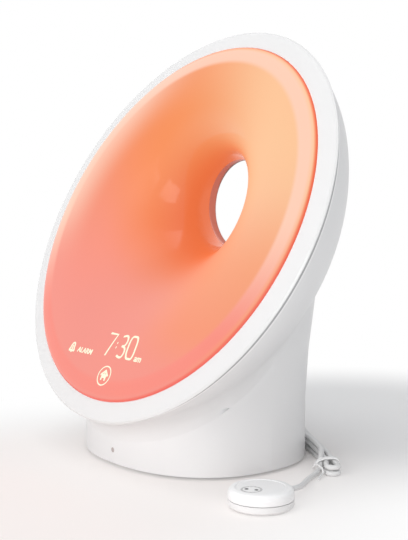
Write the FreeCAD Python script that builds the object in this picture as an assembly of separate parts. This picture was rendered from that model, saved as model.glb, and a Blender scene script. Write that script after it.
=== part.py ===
import FreeCAD, Part
import math
import os

# Sunrise alarm clock: a tilted ring-shaped lamp head on an oval pedestal, with a wired bed sensor.
# Millimetres, +Z up, the front faces -Y. The origin is on the floor under the pedestal's centre.
# The lamp head is drawn in a face frame: x to the right, y up the face, z out of the face.

V = FreeCAD.Vector
AXIS_X = V(1, 0, 0)
AXIS_Y = V(0, 1, 0)
AXIS_Z = V(0, 0, 1)
os.makedirs("parts", exist_ok=True)

# Clearances
fit_gap = 0.2
trim_gap = 0.4
seam_gap = 1.2
cut_over = 5.0

# Lamp head
face_tilt = 26.3
face_centre_y = -17.0
face_centre_z = 123.5
bezel_r = 109.5
bezel_edge_round = 0.7
bezel_thick = 1.8
bezel_rise = 1.25
bezel_lip_depth = 3.4
bezel_lip_wall = 1.9
diffuser_r = bezel_r - 10.3
diffuser_wall = 2.0
diffuser_rim_width = 7.2
diffuser_rim_height = 2.5
diffuser_flange_width = 2.6
diffuser_flange_thick = 1.8
throat_r = 24.4
throat_up = 27.0
throat_depth = 39.5
throat_tilt = 5.0
collar_length = 4.6
collar_wall = 2.6

# Rear housing
housing_wall = 2.5
bowl_r = bezel_r - 2.0
bowl_depth = 71.0
bowl_power = 1.6
bowl_start = bezel_thick + seam_gap
base_half_x = 61.0
base_half_y = 52.2
base_power = 2.28
base_bottom = 1.5
flare_start = 35.0
flare_end = 87.0
flare_top = 118.0
flare_grow_x = 7.5
flare_grow_y = 1.8
flare_power = 1.5
flare_steps = 5
neck_fillet_r = 12.0
trumpet_side_slope = 1.3
trumpet_side_curl = 0.05
trumpet_high_slope = 0.62
trumpet_high_curl = 0.008
trumpet_length = 34.0
trumpet_wall = 2.0
ledge_inner_r = bezel_r - 18.0
ledge_thick = 2.0
tray_screw_count = 8
tray_screw_start = 22.5
tray_screw_ring_r = bezel_r - 14.9
tray_boss_r = 2.9
tray_boss_depth = 8.0
screw_r = 1.1
screw_head_r = 2.1
screw_head_thick = 1.4
screw_length = 7.0

# Light tray, light board and display
tray_flange_thick = 1.6
tray_wall = 1.6
tray_mouth_r = bezel_r - 18.5
tray_floor_r = tray_mouth_r - 3.0
tray_floor_depth = 22.0
tray_hole_r = 44.0
tray_hole_up = 17.5
board_thick = 1.6
light_board_outer_r = tray_floor_r - 3.0
light_board_inner_r = light_board_outer_r - 22.0
light_board_gap_angle = 84.0
led_rows = ((light_board_inner_r + 6.0, 22), (light_board_outer_r - 5.0, 26))
led_size = 5.0
led_height = 1.6
display_half_x = 38.0
display_low = 22.5 - bezel_r
display_high = display_low + 27.0
display_edge_r = bezel_r - 21.9
display_mask_front = 5.2
display_mask_thick = 2.6
touch_film_thick = 0.3
display_post_r = 2.2
display_post_x = 26.0
display_post_up = display_low + 15.0
display_led_size = 2.0
display_led_height = 0.8

# Pedestal contents
plate_thick = 2.5
foot_r = 6.5
foot_peg_r = 3.0
foot_x = base_half_x - 35.0
foot_y = base_half_y - 16.2
base_screw_x = base_half_x - 17.5
base_screw_y = base_half_y - 20.7
base_boss_r = 4.2
base_boss_height = 16.0
post_r = 2.6
post_height = 7.0
main_board_half_x = base_half_x - 21.0
main_board_front = 18.2 - base_half_y
main_board_back = base_half_y - 15.2
board_post_x = main_board_half_x - 7.0
board_post_front = main_board_front + 6.0
board_post_back = main_board_back - 15.0
bay_half_x = base_half_x - 25.0
bay_low = 5.8
bay_height = 20.0
bay_wall = 1.8
bay_face_y = base_half_y - 11.0
window_inset = 2.2
port_z = 16.0
sensor_port_x = -25.0
aux_port_x = -9.0
charge_port_x = 8.0
dc_port_x = 25.0
port_body_depth = 12.0
port_body_half = 5.2
aux_r = 1.775
dc_bore_r = 3.2
dc_pin_r = 0.95
charge_half_x = 6.4
charge_half_z = 2.6
sensor_port_half_x = 3.7
sensor_port_half_z = 1.3
speaker_z = 66.0
speaker_r = 22.0
speaker_flange_r = 26.0
speaker_flange_thick = 1.5
speaker_seat_y = base_half_y - 10.2
speaker_gasket_thick = 1.0
speaker_screw_ring_r = 24.0
speaker_depth = 14.0
magnet_r = 13.0
magnet_thick = 7.0
cone_wall = 0.5
cone_outer_r = 17.5
cone_inner_r = 7.0
cone_depth = 6.0
cone_set_back = 0.9
coil_r = 6.6
coil_wall = 0.6
coil_length = 10.0
coil_gap = 0.5
surround_bulge = 1.4
surround_gap = 0.3
grille_hole_r = 0.9
grille_rings = ((0.0, 1), (4.0, 6), (8.0, 12), (12.0, 18), (16.0, 24))
dot_r = 1.3
dot_z = 8.1
harness_r = 1.2
ribbon_half_x = 8.0
ribbon_thick = 0.3
ribbon_up = display_low + 9.0

# Bed sensor on its lead
puck_x = 96.1
puck_y = -38.9
puck_r = 14.7
puck_height = 9.0
puck_split = 3.9
puck_wall = 1.4
puck_shoulder = 2.6
puck_top_inset_r = 11.2
puck_top_inset = 0.25
puck_gap = 0.35
puck_pad_r = 11.5
puck_pad_thick = 0.4
puck_board_r = 11.0
puck_board_thick = 1.0
puck_board_z = 3.0
sense_x = 0.0
sense_y = -5.6
sense_hole_r = 0.75
sense_hole_spread = 1.9
sense_slot_ring_r = 4.3
sense_slot_count = 16
sense_slot_r = 0.35
lead_r = 1.3
lead_exit_z = 4.4
relief_length = 3.4
relief_root_r = 2.1
relief_tip_r = 1.75
plug_body_length = 15.0
plug_body_half_x = 4.6
plug_body_half_z = 3.2
plug_shell_half_x = 3.5
plug_shell_half_z = 1.1
plug_shell_length = 6.0
plug_relief_length = 7.0
hank_front = V(84.5, 19.0, 0)
hank_heading = V(-0.798, 0.602, 0)
hank_length = 105.0
hank_turn_r = 3.2
hank_gap = 0.5
hank_layers = 3
tie_from_front = 12.0
tie_width = 4.0
tie_thick = 0.9

# Frames
head = FreeCAD.Placement(V(0, face_centre_y, face_centre_z), FreeCAD.Rotation(AXIS_X, 90 - face_tilt))
throat_local = FreeCAD.Placement(V(0, throat_up, -throat_depth),
                                 FreeCAD.Rotation(AXIS_X, face_tilt - throat_tilt + 180))
throat = head.multiply(throat_local)


def cylinder(r, height, base=V(0, 0, 0), axis=AXIS_Z):
    return Part.makeCylinder(r, height, base, axis)


def tube(r_out, r_in, height, base=V(0, 0, 0), axis=AXIS_Z):
    return cylinder(r_out, height, base, axis).cut(cylinder(r_in, height, base, axis))


def block(x0, x1, y0, y1, z0, z1):
    return Part.makeBox(x1 - x0, y1 - y0, z1 - z0, V(x0, y0, z0))


def fuse(shapes):
    return shapes[0].multiFuse(shapes[1:]) if len(shapes) > 1 else shapes[0]


def placed(shape, placement):
    moved = shape.copy()
    moved.Placement = placement.multiply(moved.Placement)
    return moved


def spun(points):
    """Solid of revolution about the local z axis from (radius, height) corners."""
    corners = [V(r, 0, z) for r, z in points]
    outline = Part.makePolygon(corners + corners[:1])
    return Part.Face(outline).revolve(V(0, 0, 0), AXIS_Z, 360)


def around(count, radius, start=0.0):
    """Centres evenly spaced round a circle in the local xy plane."""
    steps = [math.radians(start + 360.0 * i / count) for i in range(count)]
    return [V(radius * math.cos(a), radius * math.sin(a), 0) for a in steps]


def oval_wire(half_x, half_y, z, count=40):
    """Closed superellipse in a level plane."""
    points = []
    for i in range(count):
        a = 2 * math.pi * i / count
        c, s = math.cos(a), math.sin(a)
        x = half_x * math.copysign(abs(c) ** (2 / base_power), c)
        y = half_y * math.copysign(abs(s) ** (2 / base_power), s)
        points.append(V(x, y, z))
    curve = Part.BSplineCurve()
    curve.interpolate(points, PeriodicFlag=True)
    return Part.Wire(curve.toShape())


def oval_prism(half_x, half_y, z0, z1):
    return Part.Face(oval_wire(half_x, half_y, z0)).extrude(V(0, 0, z1 - z0))


def save(name, shape):
    solids = shape.Solids
    volume = sum(s.Volume for s in solids)
    print(f"{name:22s} solids {len(solids):3d}  volume {volume:10.1f}  valid {shape.isValid()}")
    out = solids[0] if len(solids) == 1 else Part.makeCompound(solids)
    out.exportStep(f"parts/{name}.step")


# Lamp head surfaces

def ring(radius, up, out, lean):
    """Circle whose centre is up the face and out of it, and whose axis leans downwards."""
    circle = Part.makeCircle(radius)
    circle.Placement = FreeCAD.Placement(V(0, up, out), FreeCAD.Rotation(AXIS_X, lean))
    return Part.Wire(circle)


crest_r = diffuser_r - diffuser_rim_width
crest_out = bezel_rise + diffuser_rim_height
lean_full = face_tilt - throat_tilt


def funnel_ring(angle, skin):
    """One circle of the light's funnel, from its crest (0 degrees) to its throat (90)."""
    a = math.radians(angle)
    span_r, span_z = crest_r - throat_r, crest_out + throat_depth
    share = math.sin(a)
    nx, nz = -math.sin(a) / span_r, math.cos(a) / span_z
    size = math.hypot(nx, nz)
    radius = throat_r + span_r * (1 - share) - skin * nx / size
    out = -throat_depth + span_z * math.cos(a) - skin * nz / size
    return ring(radius, throat_up * share ** 3, out, lean_full * share ** 8)


def funnel_skin(skin):
    angles = [0, 8, 17, 26, 35, 44, 53, 62, 71, 80, 90]
    return Part.makeLoft([funnel_ring(a, skin) for a in angles], False)


def ring_face(angle):
    """Narrow face that closes the wall between the two skins at one angle."""
    return Part.makeRuledSurface(funnel_ring(angle, 0).Edges[0], funnel_ring(angle, diffuser_wall).Edges[0])


def rim_arc(skin):
    """Quarter ellipse of the light's rolled rim, as points from its edge to its crest."""
    points = []
    for angle in (0, 18, 36, 54, 72, 90):
        a = math.radians(angle)
        nx, nz = math.cos(a) / diffuser_rim_width, math.sin(a) / diffuser_rim_height
        size = math.hypot(nx, nz)
        r = crest_r + diffuser_rim_width * math.cos(a) - skin * nx / size
        z = bezel_rise + diffuser_rim_height * math.sin(a) - skin * nz / size
        points.append(V(r, 0, z))
    return points


def smooth_edge(points):
    curve = Part.BSplineCurve()
    curve.interpolate(points)
    return curve.toShape()


def line(a, b):
    return Part.LineSegment(a, b).toShape()


flange_top = -(bezel_thick + fit_gap)
flange_bottom = flange_top - diffuser_flange_thick
flange_r = diffuser_r + diffuser_flange_width
tray_top = flange_bottom
tray_seat = tray_top - tray_flange_thick


def make_diffuser():
    outer, inner = rim_arc(0), rim_arc(diffuser_wall)
    skirt_in = diffuser_r - diffuser_wall
    corners = [outer[0], V(diffuser_r, 0, flange_top), V(flange_r, 0, flange_top),
               V(flange_r, 0, flange_bottom), V(skirt_in, 0, flange_bottom), inner[0]]
    edges = [smooth_edge(outer), smooth_edge(inner), line(outer[-1], inner[-1])]
    edges += [line(a, b) for a, b in zip(corners, corners[1:])]
    outline = Part.Wire(Part.__sortEdges__(edges))
    rim = Part.Face(outline).revolve(V(0, 0, 0), AXIS_Z, 360)
    skins = [funnel_skin(0), funnel_skin(diffuser_wall), ring_face(0), ring_face(90)]
    faces = [face for skin in skins for face in skin.Faces]
    shell = Part.makeShell(faces)
    shell.sewShape()
    bell = Part.makeSolid(shell)
    if bell.Volume < 0:
        bell.reverse()
    return rim.fuse(bell).removeSplitter()


def make_bezel():
    inner = diffuser_r + fit_gap
    lip_out = bowl_r - housing_wall - 3 * fit_gap
    lip_in = lip_out - bezel_lip_wall
    lip_end = -bezel_thick - bezel_lip_depth
    profile = [(inner, bezel_rise), (bezel_r - bezel_edge_round, 0), (bezel_r, -bezel_edge_round),
               (bezel_r, -bezel_thick + bezel_edge_round), (bezel_r - bezel_edge_round, -bezel_thick),
               (lip_out, -bezel_thick), (lip_out, lip_end), (lip_in, lip_end), (lip_in, -bezel_thick),
               (inner, -bezel_thick)]
    return spun(profile)


def bowl_solid(shrink):
    """Rear bowl, as a superellipse turned about the face's axis."""
    radius, depth = bowl_r - shrink, bowl_depth - shrink
    points = []
    for angle in range(0, 91, 10):
        a = math.radians(angle)
        r = radius * abs(math.cos(a)) ** (2 / bowl_power)
        z = -bowl_start - depth * math.sin(a) ** (2 / bowl_power)
        points.append(V(0 if angle == 90 else r, 0, z))
    edges = [smooth_edge(points), line(points[-1], V(0, 0, -bowl_start))]
    edges.append(line(V(0, 0, -bowl_start), points[0]))
    outline = Part.Wire(Part.__sortEdges__(edges))
    return Part.Face(outline).revolve(V(0, 0, 0), AXIS_Z, 360)


def pedestal_solid(shrink, bottom):
    """Upright oval column that flares into the bowl."""
    half_x, half_y = base_half_x - shrink, base_half_y - shrink
    sections = []
    rise = flare_end - flare_start
    heights = [flare_start + rise * i / flare_steps for i in range(flare_steps + 1)]
    for z in heights:
        share = ((z - flare_start) / rise) ** flare_power
        sections.append(oval_wire(half_x + flare_grow_x * share, half_y + flare_grow_y * share, z))
    sections.append(oval_wire(half_x + 1.25 * flare_grow_x, half_y + 1.1 * flare_grow_y,
                              flare_end + 0.4 * rise))
    sections.append(oval_wire(half_x + 1.3 * flare_grow_x, half_y + 1.1 * flare_grow_y,
                              flare_top - shrink))
    flare = Part.makeLoft(sections, True)
    column = oval_prism(half_x, half_y, bottom, flare_start)
    return column.fuse(flare)


def trumpet_solid(grow):
    """Oval way out behind the throat, along the throat's axis, that opens more to the sides than up and down."""
    start = collar_length + trim_gap
    root_r = throat_r + fit_gap + grow
    rings = []
    for i in range(6):
        d = trumpet_length * i / 5
        side = root_r + trumpet_side_slope * d + trumpet_side_curl * d * d
        high = root_r + trumpet_high_slope * d + trumpet_high_curl * d * d
        oval = Part.makeCircle(root_r) if i == 0 else Part.Ellipse(V(0, 0, 0), side, high).toShape()
        oval.Placement = FreeCAD.Placement(V(0, 0, start + d), FreeCAD.Rotation())
        rings.append(Part.Wire(oval))
    return placed(Part.makeLoft(rings, True), throat)


def neck_edges(body, bowl, pedestal):
    """Edges where the bowl and the pedestal meet, behind the front plane."""
    found = []
    for edge in body.Edges:
        middle = edge.valueAt((edge.FirstParameter + edge.LastParameter) / 2)
        spot = Part.Vertex(middle)
        depth = head.inverse().multVec(middle).z
        on_both = all(shape.Shells[0].distToShape(spot)[0] < 0.01 for shape in (bowl, pedestal))
        if on_both and depth < -bowl_start - fit_gap:
            found.append(edge)
    return found


def make_housing():
    ahead = placed(cylinder(3 * bowl_r, 4 * bowl_r, V(0, 0, -bowl_start)), head)
    bowl, pedestal = placed(bowl_solid(0), head), pedestal_solid(0, base_bottom)
    body = bowl.fuse(pedestal).cut(ahead)
    body = body.makeFillet(neck_fillet_r, neck_edges(body, bowl, pedestal))
    cavity = placed(bowl_solid(housing_wall), head)
    mouth = cylinder(bowl_r - housing_wall, 2 * fit_gap, V(0, 0, -bowl_start - fit_gap))
    cavity = cavity.fuse([placed(mouth, head), pedestal_solid(housing_wall, base_bottom - cut_over)])
    cavity = cavity.cut(ahead).cut(trumpet_solid(trumpet_wall * trumpet_side_slope))
    shell = body.cut(cavity).cut(trumpet_solid(0))

    seat = tray_seat
    ledge = tube(bowl_r - 1.0, ledge_inner_r, ledge_thick, V(0, 0, seat - ledge_thick))
    adds = [placed(ledge, head).common(body)]
    holes = []
    for p in around(tray_screw_count, tray_screw_ring_r, tray_screw_start):
        boss = cylinder(tray_boss_r, tray_boss_depth, V(p.x, p.y, seat - tray_boss_depth))
        adds.append(placed(boss, head))
        depth = screw_length + 0.5
        holes.append(placed(cylinder(screw_r, depth, V(p.x, p.y, seat - depth)), head))
    boss_z = base_bottom + plate_thick
    for sx in (-1, 1):
        for sy in (-1, 1):
            at = V(sx * base_screw_x, sy * base_screw_y, boss_z)
            adds.append(cylinder(base_boss_r, base_boss_height, at).common(body))
            holes.append(cylinder(screw_r, screw_length, at))
    seat_ring = tube(speaker_flange_r, speaker_r - 1.0, 12.0, V(0, speaker_seat_y, speaker_z), AXIS_Y)
    adds.append(seat_ring.common(body))
    for p in around(4, speaker_screw_ring_r, 45):
        holes.append(cylinder(0.8, 5.0, V(p.x, speaker_seat_y, speaker_z + p.y), AXIS_Y))
    for radius, count in grille_rings:
        for p in around(count, radius):
            holes.append(cylinder(grille_hole_r, 14.0, V(p.x, speaker_seat_y + 3.0, speaker_z + p.y), AXIS_Y))
    window_x = bay_half_x - window_inset
    holes.append(block(-window_x, window_x, bay_face_y, base_half_y + cut_over,
                       bay_low + window_inset, bay_low + bay_height - window_inset))
    holes.append(cylinder(dot_r, 8.0, V(0, -base_half_y - 2.0, dot_z), AXIS_Y))
    return fuse([shell] + adds).cut(Part.makeCompound(holes)).cut(trumpet_solid(0))


def make_collar():
    ring_shape = tube(throat_r + collar_wall, throat_r, collar_length)
    return placed(ring_shape, throat)


# Light tray and what it carries

def light_point(depth):
    return -tray_floor_depth + tray_wall + depth


def tray_hole(extra=0.0):
    return cylinder(tray_hole_r + extra, 60.0, V(0, tray_hole_up, -50.0))


def make_tray():
    floor = -tray_floor_depth
    profile = [(flange_r, tray_top), (flange_r, tray_seat), (tray_mouth_r, tray_seat),
               (tray_floor_r, floor), (0, floor), (0, floor + tray_wall),
               (tray_floor_r - tray_wall, floor + tray_wall), (tray_mouth_r - tray_wall, tray_top)]
    tray = spun(profile).cut(tray_hole())
    lip = tray_hole().cut(tray_hole(-tray_wall))
    lip = lip.common(block(-80, 80, -80, 120, floor, floor + 4.0))
    posts = []
    for sx in (-1, 1):
        base = V(sx * display_post_x, display_post_up, floor + tray_wall)
        posts.append(cylinder(display_post_r, display_board_back - base.z, base))
    screws = [cylinder(screw_r + 0.2, 20, V(p.x, p.y, -15))
              for p in around(tray_screw_count, tray_screw_ring_r, tray_screw_start)]
    slot = block(-ribbon_half_x - 1.0, ribbon_half_x + 1.0, ribbon_up - 2.0, ribbon_up + 2.0,
                 floor - 1.0, floor + tray_wall + 1.0)
    return fuse([tray, lip] + posts).cut(Part.makeCompound(screws + [slot]))


display_mask_back = -display_mask_front - display_mask_thick
display_board_back = display_mask_back - board_thick


def display_plate(z0, z1):
    plate = block(-display_half_x, display_half_x, display_low, display_high, z0, z1)
    return plate.common(cylinder(display_edge_r, z1 - z0, V(0, 0, z0)))


def make_light_board():
    z = light_point(0)
    board = tube(light_board_outer_r, light_board_inner_r, board_thick, V(0, 0, z))
    half = light_board_gap_angle / 2
    reach = 3 * light_board_outer_r
    wedge = Part.makePolygon([V(0, 0, z), V(-reach * math.tan(math.radians(half)), -reach, z),
                              V(reach * math.tan(math.radians(half)), -reach, z), V(0, 0, z)])
    board = board.cut(Part.Face(wedge).extrude(V(0, 0, board_thick)))
    return board.cut(tray_hole(fit_gap))


def make_leds():
    leds = []
    z = light_point(board_thick)
    margin = light_board_gap_angle / 2 + 5
    for radius, count in led_rows:
        for i in range(count):
            angle = -90 + margin + (360 - 2 * margin) * i / (count - 1)
            led = block(-led_size / 2, led_size / 2, -led_size / 2, led_size / 2, 0, led_height)
            spot = FreeCAD.Placement(V(radius, 0, z), FreeCAD.Rotation())
            turn = FreeCAD.Placement(V(0, 0, 0), FreeCAD.Rotation(AXIS_Z, angle))
            moved = placed(placed(led, spot), turn)
            if moved.common(tray_hole(fit_gap)).Volume < 0.001:
                leds.append(moved)
    return Part.makeCompound(leds)


def make_display_lights():
    z = display_mask_back
    high, middle, low = display_low + 16.0, display_low + 9.0, display_low + 1.5
    spots = [(x, high) for x in (-34.0, -24.0, -4.0, 1.0, 9.0, 14.0, 20.0)]
    spots += [(x, middle) for x in (-30.0, -20.0, -4.0, 9.0, 20.0)] + [(0.0, low)]
    half = display_led_size / 2
    pockets = [block(x - half, x + half, y - half, y + half, z, z + display_led_height) for x, y in spots]
    return Part.makeCompound(pockets)


def make_tray_screws():
    screws = []
    for p in around(tray_screw_count, tray_screw_ring_r, tray_screw_start):
        shank = cylinder(screw_r - 0.05, screw_length, V(p.x, p.y, tray_top - screw_length))
        top = cylinder(screw_head_r, screw_head_thick, V(p.x, p.y, tray_top))
        screws.append(shank.fuse(top))
    return Part.makeCompound(screws)


# Pedestal contents

plate_top = base_bottom + plate_thick
board_z = plate_top + post_height
corner_signs = [(sx, sy) for sx in (-1, 1) for sy in (-1, 1)]


def make_base_plate():
    inset = housing_wall + fit_gap
    plate = oval_prism(base_half_x - inset, base_half_y - inset, base_bottom, plate_top)
    cuts = []
    for sx, sy in corner_signs:
        cuts.append(cylinder(screw_r + 0.2, plate_thick, V(sx * base_screw_x, sy * base_screw_y, base_bottom)))
    cuts += [cylinder(foot_peg_r + fit_gap, plate_thick, at + V(0, 0, base_bottom)) for at in foot_spots()]
    posts = [cylinder(post_r, post_height, V(x, y, plate_top)) for x, y in board_posts()]
    return fuse([plate.cut(Part.makeCompound(cuts))] + posts)


def board_posts():
    return [(sx * board_post_x, y) for sx in (-1, 1) for y in (board_post_front, board_post_back)]


def foot_spots():
    """Centres of the four corner feet and of the one in the middle."""
    return [V(sx * foot_x, sy * foot_y, 0) for sx, sy in corner_signs] + [V(0, 0, 0)]


def make_feet():
    feet = []
    for at in foot_spots():
        pad = cylinder(foot_r, base_bottom, at).fuse(cylinder(foot_peg_r, base_bottom + plate_thick, at))
        pad = pad.removeSplitter()
        rim = [e for e in pad.Edges if e.Length > 6 * foot_r and e.BoundBox.ZMax < fit_gap]
        feet.append(pad.makeChamfer(0.4, rim))
    return Part.makeCompound(feet)


def make_base_screws():
    screws = []
    for sx, sy in corner_signs:
        x, y = sx * base_screw_x, sy * base_screw_y
        top = cylinder(screw_head_r, 1.0, V(x, y, base_bottom - 1.0))
        shank = cylinder(screw_r - 0.05, plate_thick + screw_length - 0.5, V(x, y, base_bottom))
        screws.append(top.fuse(shank))
    return Part.makeCompound(screws)


def make_main_board():
    board = block(-main_board_half_x, main_board_half_x, main_board_front, main_board_back,
                  board_z, board_z + board_thick)
    room = oval_prism(base_half_x - housing_wall - 2, base_half_y - housing_wall - 2, board_z - 1, board_z + 5)
    bosses = [cylinder(base_boss_r + 1.0, 20.0, V(sx * base_screw_x, sy * base_screw_y, 0))
              for sx, sy in corner_signs]
    return board.common(room).cut(Part.makeCompound(bosses))


def board_top():
    return board_z + board_thick


def make_board_screws():
    screws = []
    for x, y in board_posts():
        screws.append(cylinder(screw_head_r, screw_head_thick, V(x, y, board_top())))
    return Part.makeCompound(screws)


def make_rear_bay():
    low, high = bay_low, bay_low + bay_height
    tub = block(-bay_half_x, bay_half_x, bay_face_y - bay_wall, base_half_y, low, high)
    hollow = block(-bay_half_x + bay_wall, bay_half_x - bay_wall, bay_face_y, base_half_y + cut_over,
                   low + bay_wall, high - bay_wall)
    inset = housing_wall + fit_gap
    room = oval_prism(base_half_x - inset, base_half_y - inset, low - 1, high + 1)
    y = bay_face_y - bay_wall - 1
    depth = bay_wall + 2
    ports = [cylinder(aux_r + 1.2, depth, V(aux_port_x, y, port_z), AXIS_Y),
             cylinder(dc_bore_r + 1.3, depth, V(dc_port_x, y, port_z), AXIS_Y),
             port_block(charge_port_x, charge_half_x + 0.5, charge_half_z + 0.5, y, y + depth),
             port_block(sensor_port_x, sensor_port_half_x + 0.5, sensor_port_half_z + 0.5, y, y + depth)]
    return tub.cut(hollow).common(room).cut(Part.makeCompound(ports))


def port_block(x, half_x, half_z, y0, y1):
    return block(x - half_x, x + half_x, y0, y1, port_z - half_z, port_z + half_z)


port_back = bay_face_y - bay_wall - port_body_depth
port_front = bay_face_y - bay_wall


def port_body(x, half_x):
    return block(x - half_x, x + half_x, port_back, port_front, board_top(), port_z + port_body_half)


def make_aux_port():
    nose = cylinder(aux_r + 1.0, bay_wall, V(aux_port_x, port_front, port_z), AXIS_Y)
    hole = cylinder(aux_r, port_body_depth + bay_wall - 1.0, V(aux_port_x, port_back + 1.0, port_z), AXIS_Y)
    return port_body(aux_port_x, port_body_half).fuse(nose).cut(hole)


def make_dc_port():
    hole = cylinder(dc_bore_r, port_body_depth + bay_wall - 2.0, V(dc_port_x, port_back + 2.0, port_z), AXIS_Y)
    pin = cylinder(dc_pin_r, port_body_depth - 2.0, V(dc_port_x, port_back + 2.0, port_z), AXIS_Y)
    nose = cylinder(dc_bore_r + 1.1, bay_wall, V(dc_port_x, port_front, port_z), AXIS_Y)
    return port_body(dc_port_x, port_body_half + 1).fuse(nose).cut(hole).fuse(pin)


def make_charge_port():
    wall = 0.4
    case = port_block(charge_port_x, charge_half_x + wall, charge_half_z + wall, port_back, port_front)
    base = block(charge_port_x - charge_half_x, charge_port_x + charge_half_x, port_back, port_front,
                 board_top(), port_z - charge_half_z - wall)
    hollow = port_block(charge_port_x, charge_half_x, charge_half_z, port_back + 1.0, port_front)
    tongue = block(charge_port_x - charge_half_x + 1, charge_port_x + charge_half_x - 1, port_back + 1.0,
                   port_front - 1.5, port_z + 0.2, port_z + 1.8)
    return case.fuse(base).cut(hollow).fuse(tongue)


def make_sensor_port():
    body = port_body(sensor_port_x, sensor_port_half_x + 1.4)
    hollow = port_block(sensor_port_x, sensor_port_half_x, sensor_port_half_z,
                        port_front - plug_shell_length - 1.0, port_front)
    return body.cut(hollow)


# Speaker, facing the rear wall

speaker_front_y = speaker_seat_y - speaker_gasket_thick
speaker_flange_y = speaker_front_y - speaker_flange_thick


def speaker_turn(points):
    """Solid of revolution about the speaker's axis from (radius, y) corners."""
    corners = [V(r, y, speaker_z) for r, y in points]
    outline = Part.makePolygon(corners + corners[:1])
    return Part.Face(outline).revolve(V(0, 0, speaker_z), AXIS_Y, 360)


def speaker_spots():
    return [V(p.x, 0, speaker_z + p.y) for p in around(4, speaker_screw_ring_r, 45)]


def make_gasket():
    ring_shape = tube(speaker_flange_r, speaker_r, speaker_gasket_thick, V(0, speaker_front_y, speaker_z), AXIS_Y)
    holes = [cylinder(1.1, 5, p + V(0, speaker_front_y - 1, 0), AXIS_Y) for p in speaker_spots()]
    return ring_shape.cut(Part.makeCompound(holes))


basket_back = speaker_front_y - speaker_depth
basket_wall = 1.0
magnet_front = basket_back
magnet_back = basket_back - magnet_thick


def make_basket():
    profile = [(speaker_flange_r, speaker_front_y), (speaker_flange_r, speaker_flange_y),
               (speaker_r, speaker_flange_y), (magnet_r, basket_back), (coil_r + coil_gap + 0.4, basket_back),
               (coil_r + coil_gap + 0.4, basket_back + basket_wall), (magnet_r - 0.4, basket_back + basket_wall),
               (speaker_r - 1.0, speaker_flange_y + 0.6), (speaker_r - 1.0, speaker_front_y)]
    holes = [cylinder(1.1, 9, p + V(0, speaker_flange_y - 4, 0), AXIS_Y) for p in speaker_spots()]
    return speaker_turn(profile).cut(Part.makeCompound(holes))


def make_magnet():
    plate = 1.6
    core = coil_r - coil_wall - coil_gap
    slot_out = coil_r + coil_gap
    profile = [(0, magnet_back), (magnet_r, magnet_back), (magnet_r, magnet_front),
               (slot_out, magnet_front), (slot_out, magnet_back + plate), (core, magnet_back + plate),
               (core, magnet_front), (0, magnet_front)]
    return speaker_turn(profile)


cone_rim_y = speaker_front_y - cone_set_back
cone_neck_y = cone_rim_y - cone_depth


def make_cone():
    cap = 1.4
    profile = [(0, cone_neck_y + cap), (0, cone_neck_y + cap - cone_wall), (coil_r - coil_wall, cone_neck_y),
               (coil_r - coil_wall, cone_neck_y - coil_length), (coil_r, cone_neck_y - coil_length),
               (coil_r, cone_neck_y), (cone_inner_r + 0.8, cone_neck_y), (cone_outer_r, cone_rim_y - cone_wall),
               (cone_outer_r, cone_rim_y), (cone_inner_r, cone_neck_y + cone_wall + 0.3)]
    return speaker_turn(profile)


def make_surround():
    r0, r1 = cone_outer_r + surround_gap, speaker_r - 1.0 - 2 * fit_gap
    mid = (r0 + r1) / 2
    seat = cone_rim_y - 0.3
    profile = [(r0, seat), (r0, seat + 0.6), (mid, seat + 0.6 + surround_bulge), (r1, seat + 0.6),
               (r1, seat), (mid, seat + surround_bulge)]
    return speaker_turn(profile)


def make_speaker_screws():
    screws = []
    for p in speaker_spots():
        top = cylinder(1.6, 1.0, p + V(0, speaker_flange_y - 1.0, 0), AXIS_Y)
        shank = cylinder(0.75, 7.0, p + V(0, speaker_flange_y, 0), AXIS_Y)
        screws.append(top.fuse(shank))
    return Part.makeCompound(screws)


# Cords

def route_length(edges):
    return sum(edge.Length for edge in edges)


def rounded_route(name, points):
    """Straight runs joined by tangent arcs, each as large as its two runs allow."""
    edges = []
    last = points[0]
    radii = []
    for before, corner, after in zip(points, points[1:], points[2:]):
        into, away = corner - before, after - corner
        turn = into.getAngle(away)
        reach = 0.45 * min(into.Length, away.Length)
        radii.append(reach / math.tan(turn / 2))
        start = corner - into.normalize() * reach
        end = corner + away.normalize() * reach
        inward = (end - corner) + (start - corner)
        centre = corner + inward.normalize() * (radii[-1] / math.cos(turn / 2))
        middle = centre + (corner - centre).normalize() * radii[-1]
        edges.append(line(last, start))
        edges.append(Part.Arc(start, middle, end).toShape())
        last = end
    edges.append(line(last, points[-1]))
    print(f"{name} radii", [round(r, 1) for r in radii], "length", round(route_length(edges), 1))
    return edges


def swept(edges, r):
    wire = Part.Wire(edges)
    first = edges[0]
    start = first.valueAt(first.FirstParameter)
    heading = first.tangentAt(first.FirstParameter)
    profile = Part.Wire(Part.makeCircle(r, start, heading))
    tube_shape = wire.makePipeShell([profile], True, True)
    share = tube_shape.Volume / (math.pi * r * r * route_length(edges))
    print("tube volume over section times length", round(share, 4))
    return tube_shape


hank_side = V(-hank_heading.y, hank_heading.x, 0) * -1
hank_pitch = 2 * lead_r + hank_gap


def hank_point(along, across, z):
    p = hank_front + hank_heading * along + hank_side * across
    return V(p.x, p.y, z)


def layer_z(layer):
    return lead_r + 0.05 + layer * hank_pitch


turn_in = hank_turn_r + lead_r
hank_tail_along = hank_length - 9.0
hank_exit_along = 9.0


def half_turn(along, outward, from_side, z):
    a = hank_point(along, from_side * hank_turn_r, z)
    m = hank_point(along + outward * hank_turn_r, 0, z)
    b = hank_point(along, -from_side * hank_turn_r, z)
    return Part.Arc(a, m, b).toShape()


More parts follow.
